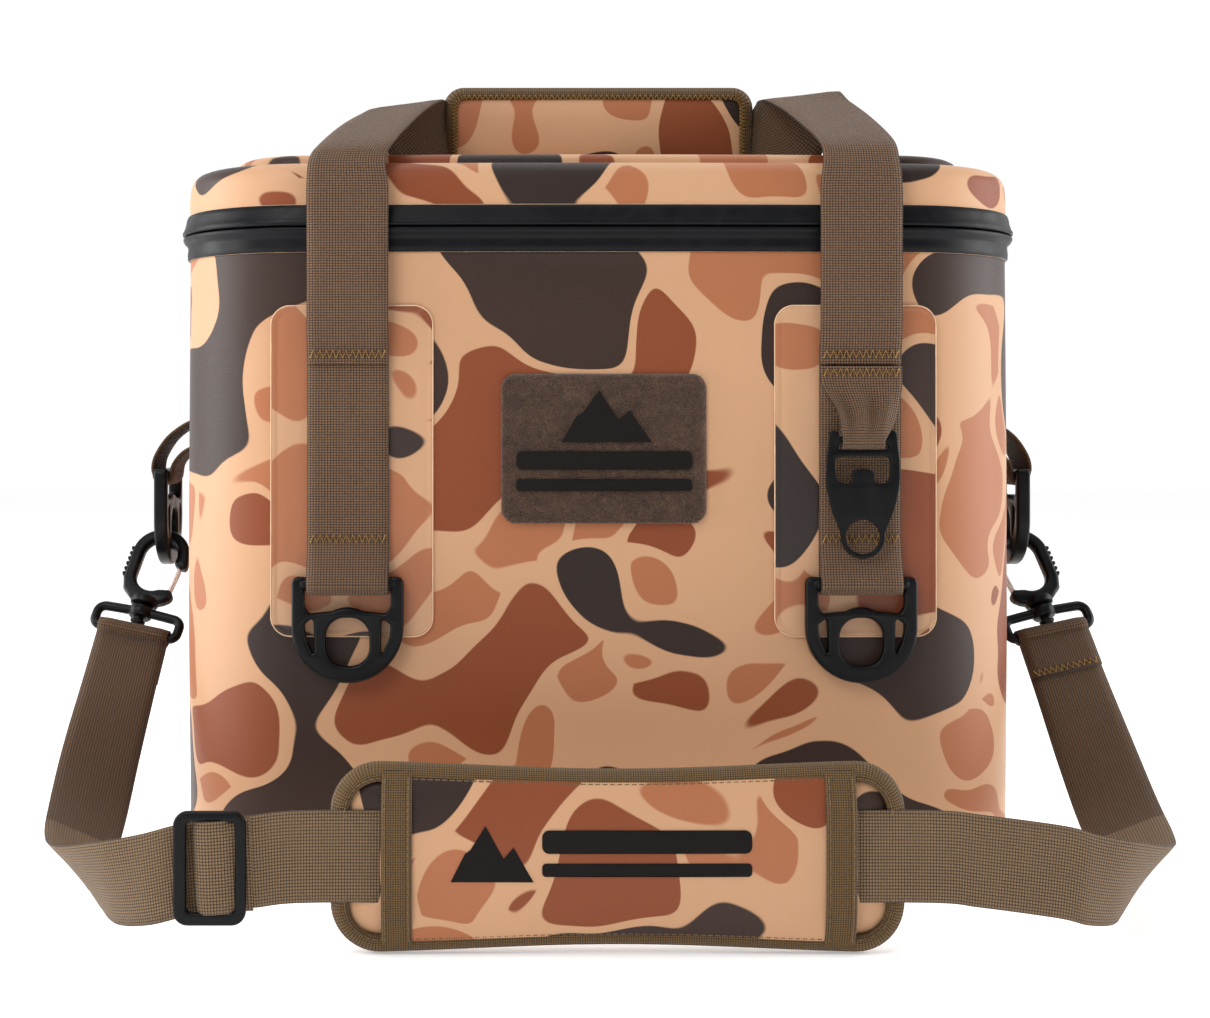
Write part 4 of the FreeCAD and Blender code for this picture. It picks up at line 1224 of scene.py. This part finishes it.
def gate_shape():
    """Bent wire gate: two legs and a closed nose."""
    leg = [(GATE_FOOT, 1.6, 0), (GATE_TIP, 1.7, -2), (GATE_TIP, 1.2, -0.3)]
    left = [spot + Vector((0, -out, up)) for spot, out, up in leg]
    right = [spot + Vector((0, out, up)) for spot, out, up in reversed(leg)]
    return tube("gate_draft", catmull(left + [GATE_TIP] + right, 5), 0.85, MAT["steel"], sides=10)


def swivel_shape():
    """Rounded wire-like plastic loop for the strap, with the boss for the stem."""
    middle, height = (SWIVEL_HIGH + SWIVEL_LOW) / 2, SWIVEL_HIGH - SWIVEL_LOW
    bow = []
    for p in upright(rounded_loop(0, middle, 50.0 - 5.0, height, 4.0, 8, 16), 0):
        rise = 0.9 * math.cos(p.x * math.pi / 46) if p.z > -50 else 0.0
        bow.append(p + Z_AXIS * rise)
    bar = tube("swivel_bar_loop", bow, SWIVEL_R, MAT["plastic"], closed=True, sides=14)
    boss_profile = [(4, -43.8), (6.0, -44.2), (6.3, -45.4), (6.3, -48.2), (5.4, -49.4), (3.0, -49.8)]
    return join("swivel_draft", [bar, lathe("swivel_boss", boss_profile, MAT["plastic"])])


def hooks():
    drafts = {"hook": hook_shape(), "gate": gate_shape(), "swivel_bar": swivel_shape()}
    for side, where in SIDES:
        for part, draft in drafts.items():
            obj = moved(copy_of(draft, f"{where}_{part}_piece"), hook_matrix(side))
            body = "shoulder_strap" if part == "swivel_bar" else f"{where}_{part}"
            settle(obj, body, "steel_wire" if part == "gate" else "black_plastic", f"{where}_{part}")
    for draft in drafts.values():
        bpy.data.objects.remove(draft)


# ---------------------------------------------------------------- shoulder strap
def strap_stations(side):
    """The strap's centre line and width direction, from the swivel loop to the pad's middle. On the left
    it dips behind the slider."""
    matrix = hook_matrix(-1)
    top = matrix @ Vector((0, 0, SWIVEL_LOW - 3.4))
    across = (matrix.to_3x3() @ X_AXIS).normalized()
    run = [
        ((-243.0, -58.0, 84.0), (0.97, -0.08, -0.22)),
        ((-245.0, -90.0, 56.5), (0.95, 0.10, -0.30)),
        ((-243.0, -130.0, 36.0), (0.86, 0.36, -0.40)),
        ((-239.0, -168.0, 26.5), (0.70, 0.52, -0.56)),
        ((-231.0, -203.0, 24.0), (0.48, 0.48, -0.80)),
        ((-215.0, -229.0, 26.5), (0.22, 0.26, -0.97)),
        ((-197.0, -241.0, 30.5), (0.10, 0.06, -1.0)),
        ((-183.0, STRAP_Y, 34.5), (0.08, 0, -1.0)),
    ]
    if side < 0:
        run += [((-177.0, STRAP_Y + 2.4, 35.5), (0.07, 0, -1.0))]
        run += [((-162.0, STRAP_Y + 2.8, 37.5), (0.06, 0, -1.0))]
    run += [((-150.0, STRAP_Y, 39.0), (0.05, 0, -1.0))]
    run += [((x, STRAP_Y, STRAP_Z), (0, 0, -1.0)) for x in (-128.0, -60.0, 0.0)]
    line = [(top, across)] + [(Vector(centre), Vector(width)) for centre, width in run]
    if side < 0:
        return line
    return [(Vector((-c.x, c.y, c.z)), Vector((-w.x, w.y, w.z))) for c, w in line]


def shoulder_webbing():
    """The whole strap in one length. Where it runs back to the hooks its inner face shows, and there it is
    painted darker as shade.
    """
    left = strap_stations(-1)
    right = list(reversed(strap_stations(1)[:-1]))
    obj = strap("shoulder_webbing", left + right, MAT["strap"], steps=8)
    depths = [c.y for c in catmull([c for c, _ in left + right], 8)]
    # painted shade on the runs back to the hooks
    repaint_rows(obj, MAT["shaded_webbing"], lambda row: depths[min(row, len(depths) - 1)] > -146)
    settle(obj, "shoulder_strap", "webbing", "left_strap", "right_strap", "strap_middle")
    for side, where in SIDES:
        strap_fold(side, where)


def strap_fold(side, where):
    """The webbing's turn round the swivel loop and its sewn tail: at the back on the left side, in front on
    the right."""
    stations = strap_stations(side)
    centres = catmull([c for c, _ in stations[:4]], 10)
    widths = catmull([w.normalized() for _, w in stations[:4]], 10)
    line = []
    for i in (7, 5, 3, 1, 0):
        ahead = (centres[i + 1] - centres[max(i - 1, 0)]).normalized()
        normal = ahead.cross(widths[i]).normalized()
        if normal.y * side > 0:
            normal = -normal
        line.append((centres[i] + normal * (WEB_T + 0.1), widths[i].normalized()))
    matrix = hook_matrix(side)
    wrap = SWIVEL_R + WRAP_GAP + WEB_T / 2
    across = widths[0].normalized()
    for a in angles(200, -36, 7) if side > 0 else angles(-20, 36, 7):
        line.append((matrix @ Vector((0, wrap * math.cos(a), SWIVEL_LOW + wrap * math.sin(a))), across))
    line.append((centres[0] + matrix.to_3x3() @ Vector((0, 0.2 * side, 0)), across))
    # painted shade: the turn round the swivel loop takes the darker copy of the webbing
    fold = strap(f"{where}_strap_fold", line, MAT["shaded_webbing"], steps=5)
    settle(fold, "shoulder_strap", "webbing")
    if side > 0:
        (c0, w0), (c1, _) = line[0], line[1]
        normal = (c1 - c0).cross(w0).normalized()
        if normal.y > 0:
            normal = -normal
        spot = c0.lerp(c1, 0.35) + normal * (WEB_T / 2 + 0.1)
        stitch_zigzag("shoulder_strap", spot - w0 * 17, spot + w0 * 17, normal)


def strap_adjuster():
    """Slider frame with the webbing looped over its middle bar."""
    outer = rounded_loop(-168, 36.8, 30.0, 47.0, 6.0, 8, 4)
    window = rounded_loop(-167.6, 37.3, 20.0, 37.4, 2.0, 4, 4)
    frame_part = moulding("slider_frame", [outer, window], 3.6, 1.2, MAT["plastic"])
    moved(frame_part, Matrix.Translation((0, STRAP_Y - 2.6, 0)))
    settle(frame_part, "shoulder_strap", "black_plastic", "strap_slider")
    line = [(-174.0, -241.5), (-173.6, -244.0), (-172.4, -247.0), (-168.5, -248.6)]
    line += [(-163.0, -248.2), (-159.0, -246.6), (-155.0, -244.9), (-151.0, -244.6)]
    across = Vector((0.04, 0, -1.0))
    stations = [(Vector((x, y, 37.3 + (x + 163) * 0.06)), across, 38.2) for x, y in line]
    hump = strap("slider_webbing", stations, MAT["strap"], steps=5)
    settle(hump, "shoulder_strap", "webbing")


PAD_MIDDLE = PAD_H / 2 + 0.2
PAD_BACK = STRAP_Y + 1.4        # where the pad's cushion starts, behind the webbing


def waisted(x, z):
    """The pad is a little narrower in the middle of its length than at its ends."""
    return PAD_MIDDLE + (z - PAD_MIDDLE) * (1 - 0.085 * math.cos(math.pi * x / (2 * PAD_HALF)) ** 2)


def waist_in(obj):
    for v in obj.data.vertices:
        v.co.z = waisted(v.co.x / MM, v.co.z / MM) * MM
    return obj


def sleeve_front(x, z):
    """Depth of the sleeve's front over the webbing."""
    t = min(max((z - 5.6) / (PAD_H - 10.8), 0.0), 1.0)
    crown = math.sin(math.pi * t) ** 0.5 * (1.0 + 0.2 * math.cos(x * math.pi / 190))
    return PAD_BACK - 1.6 - 4.2 * crown - 0.3 * noise.noise(Vector((x * 0.03, 0, z * 0.05)))


def pad_stitches(points):
    """Dull running stitches on the front of the shoulder pad."""
    normals = [-Y_AXIS] * len(points)
    stitch_along("shoulder_strap", points, normals, 2.2, 0.8, thread="dull_thread")


def pad_body():
    """The pad's cushion and its bound edge."""
    cz, back = PAD_MIDDLE, PAD_BACK
    length = 2 * PAD_HALF
    shape = (0, cz, length - 8, PAD_H - 8, PAD_R - 4)
    pad = cushion("pad_cushion", *shape, back, back + 9.5, 0.5, MAT["pad"])
    waist_in(mirror_about_depth(pad, back + 4.7))
    padded(pad, 4.0)
    settle(pad, "shoulder_strap", "camo_fabric", "pad_foam")
    profile = [(8.0, -0.3), (7.4, -1.5), (4.0, -1.7), (0.9, 0.3), (0.0, 3.6), (0.8, 6.8)]
    profile += [(4.0, 8.6), (9.4, 9.4)]
    profile = [(inset, back + out) for inset, out in profile]
    tape = waist_in(binding("pad_tape", 0, cz, length, PAD_H, PAD_R, profile, MAT["binding"]))
    settle(tape, "shoulder_strap", "binding", "pad_binding")
    loop = rounded_loop(0, cz, length - 12.6, PAD_H - 12.6, PAD_R - 6.3, 12, 24)
    line = [Vector((x, back - 1.75, waisted(x, z))) for x, z in loop]
    pad_stitches(line + [line[0]])


def pad_sleeve():
    """The fabric sleeve over the webbing."""
    heights = [5.6 + (PAD_H - 10.8) * k / 16 for k in range(17)]
    rows = []
    for i in range(41):
        x = -86 + 172 * i / 40
        rows.append([Vector((x, sleeve_front(x, z), waisted(x, z))) for z in heights])
    sleeve = planar_uv(surface("pad_sleeve", rows, MAT["pad"]), 0, 2)
    settle(sleeve, "shoulder_strap", "camo_fabric", "pad_face")


def pad_keeper(side, where):
    """A band across one end of the sleeve, with two seams."""
    x, back = side * KEEPER_X, PAD_BACK
    rise = [(0.8, 3.6), (2.2, 6.6), (4.6, 12.5), (6.4, 20), (6.8, 31)]
    line = [(back - out, z) for out, z in rise] + [(back - 6.9, PAD_MIDDLE)]
    line += [(back - out, 2 * PAD_MIDDLE - z) for out, z in reversed(rise)]
    stations = [(Vector((x, y, waisted(x, z))), X_AXIS.copy()) for y, z in line]
    more = {"width": KEEPER_W, "steps": 5, "thickness": 1.5}
    keeper = strap(f"pad_{where}_keeper", stations, MAT["binding"], **more)
    settle(keeper, "shoulder_strap", "binding", *(["pad_keepers"] if side < 0 else []))
    for offset in (-4.8, 4.8):
        pad_stitches(catmull([Vector((x + offset, y - 0.85, z)) for y, z in line[1:-1]], 4))


def shoulder_pad():
    """Padded strap cushion: body, bound edge, sleeve over the webbing, and a keeper at each end."""
    pad_body()
    pad_sleeve()
    for side, where in SIDES:
        pad_keeper(side, where)


# ---------------------------------------------------------------- plain marks in place of the maker's
def peaks(cx, cz, w, h):
    """Outline of two plain hills."""
    shape = [(-0.5, -0.5), (0.5, -0.5), (0.26, 0.12), (0.14, -0.08), (-0.08, 0.5), (-0.26, 0.08)]
    shape += [(-0.33, 0.0)]
    return [(cx + x * w, cz + z * h) for x, z in shape]


def bar_outline(cx, cz, w, h):
    return rounded_loop(cx, cz, w, h, h * 0.3, 4, 30)


def mark(name, outline, thickness, front):
    """A flat mark laid on a surface whose depth is front(x, z)."""
    obj = moulding(name, [outline], thickness, 0.12, MAT["print"])
    for v in obj.data.vertices:
        v.co.y += front(v.co.x / MM, v.co.z / MM) * MM
    return obj


def marks():
    def patch_front(x, z):
        return -(wall_y(x) + swell(z) + 3.2)

    def pad_front(x, z):
        return sleeve_front(x, z) - 0.25

    on_patch = [peaks(1, 223, 42, 24), bar_outline(0, 202.5, 82, 8.5), bar_outline(0, 191, 82, 5.5)]
    on_pad = [peaks(-52, 43, 34, 23), bar_outline(11.5, 48, 86, 9.5), bar_outline(11.5, 36.5, 86, 5.5)]
    parts = [mark(f"patch_mark_{i}", outline, 1.6, patch_front) for i, outline in enumerate(on_patch)]
    settle(join("patch_mark", parts), "cooler_box", "pile")
    parts = [mark(f"pad_mark_{i}", outline, 0.3, pad_front) for i, outline in enumerate(on_pad)]
    settle(join("pad_mark", parts), "shoulder_strap", "camo_fabric")


def mirror_about_depth(obj, y):
    """Turns a panel's crowned face to the back."""
    return moved(obj, Matrix.Translation((0, 2 * y, 0)) @ Matrix.Diagonal((1, -1, 1, 1)))


# ---------------------------------------------------------------- inside and back
def inner_rows(profile):
    """Rows that face inwards, for a profile of (offset, height)."""
    return [row[::-1] for row in shell_rows(profile)]


def lining(name, profile, body, node, cap):
    """A silvery lining sheet."""
    rows = inner_rows(profile)
    vs = lengths([row[0] for row in rows])
    obj = surface(name, rows, MAT["liner"], outline_steps(), vs, closed=True, cap=cap)
    settle(obj, body, "liner", node)


def inside():
    """Liner and lid lining, seen when the lid is open."""
    tub = [(-108, 19.2), (-60, 19.2), (-36, 19.0), (-26, 19.4), (-21.5, 21.5), (-19.4, 26), (-19.1, 60)]
    tub += [(-19.1, 150), (-19.1, 240), (-19.0, 298), (-18.6, 310.4), (-15, 311.5)]
    lining("liner_skin", tub, "cooler_box", "liner", (True, False))
    under = [(-1.4, 0.6), (-10, 0.5), (-14, 0.9), (-17, 0.45), (-40, 0.45), (-80, 0.45), (-124, 0.45)]
    under = [(offset, ZIP_Z + z) for offset, z in under]
    lining("lid_lining", under, "lid", "lid_liner", (False, True))


def rear_hinge():
    """Flexible strip across the back."""
    pitch, half = 6.0, 25
    heights = [284 + 3.0 * k for k in range(20)]
    xs = [-pitch * k for k in range(-half, half + 1)]
    rows = []
    for z in heights:
        edge = 0.9 if z in (heights[0], heights[-1]) else 1.6
        rows.append([Vector((x, wall_y(x) + edge, z)) for x in xs])
    us = [pitch * k for k in range(len(xs))]
    strip = surface("hinge_strip", rows, MAT["rubber"], us, heights)
    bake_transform(strip)
    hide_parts("rear_hinge_strip")


def repaint():
    """Better materials on the CAD pieces whose shape is already right."""
    wanted = {
        "foam_walls": "foam",
        "foam_base": "foam",
        "lid_foam": "foam",
        "body_rim": "rubber",
        "zipper_slider": "metal",
        "zipper_pull": "metal",
    }
    for node, material in wanted.items():
        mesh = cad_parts[node].data
        mesh.materials.clear()
        mesh.materials.append(MAT[material])


# ---------------------------------------------------------------- camera, light and floor
FRONT_LIGHT, BACK_LIGHT = 0.36, 1.02      # strength of the surroundings on the front's side and behind
LIT_SPOT = Vector((0, 0, 0.18))
LIGHTS = (              # name, place and size in metres, power in watts
    ("left_side", (-1.25, -0.10, 0.42), 0.9, 13.0),
    ("right_side", (1.25, -0.10, 0.42), 0.9, 11.0),
    ("top", (0.0, -0.1, 1.6), 1.2, 7.0),
    ("key", (-0.8, -1.3, 1.3), 0.8, 12.0),
)


def studio():
    corners = [(-6000, -3000, 0), (6000, -3000, 0), (6000, 6000, 0), (-6000, 6000, 0)]
    new_object("floor", corners, [(0, 1, 2, 3)], MAT["floor"])
    world = bpy.data.worlds.new("studio")
    bpy.context.scene.world = world
    world.use_nodes = True
    tree = world.node_tree
    background = tree.nodes["Background"]
    direction = tree.nodes.new("ShaderNodeTexCoord")
    split = tree.nodes.new("ShaderNodeSeparateXYZ")
    tree.links.new(direction.outputs["Generated"], split.inputs[0])
    fade = tree.nodes.new("ShaderNodeMapRange")
    fade.interpolation_type = "SMOOTHSTEP"
    for socket, value in zip(fade.inputs[1:5], (-0.25, 0.45, FRONT_LIGHT, BACK_LIGHT)):
        socket.default_value = value
    tree.links.new(split.outputs[1], fade.inputs[0])
    tree.links.new(fade.outputs[0], background.inputs[1])
    background.inputs[0].default_value = (1.0, 1.0, 1.0, 1.0)
    for name, place, size, power in LIGHTS:
        data = bpy.data.lights.new(name, "AREA")
        data.shape = "SQUARE"
        data.size = size
        data.energy = power
        lamp = link(bpy.data.objects.new(name, data))
        lamp.location = place
        lamp.rotation_euler = (LIT_SPOT - Vector(place)).to_track_quat("-Z", "Y").to_euler()
    bpy.context.scene.view_settings.view_transform = "Standard"


def camera():
    data = bpy.data.cameras.new("camera")
    data.sensor_width = 36.0
    data.lens = 57.2
    data.shift_x = 0.0893
    data.shift_y = -0.0653
    obj = link(bpy.data.objects.new("camera", data))
    obj.location = (-0.050, -1.036, 0.2167)
    obj.rotation_euler = (math.radians(90), 0, 0)
    bpy.context.scene.camera = obj


def main():
    camera()
    studio()
    bag_walls()
    lid()
    zipper()
    teeth("lower_teeth", ZIP_Z - 1.6, "cooler_box", "lower_zipper_coil")
    teeth("upper_teeth", ZIP_Z + 1.6, "lid", "upper_zipper_coil")
    patches()
    side_patches()
    pile()
    pile_hairs()
    marks()
    anchors()
    opener_strap()
    side_loops()
    rings()
    opener()
    handles()
    grips()
    hooks()
    shoulder_webbing()
    strap_adjuster()
    shoulder_pad()
    inside()
    rear_hinge()
    repaint()
    sew_all()


main()
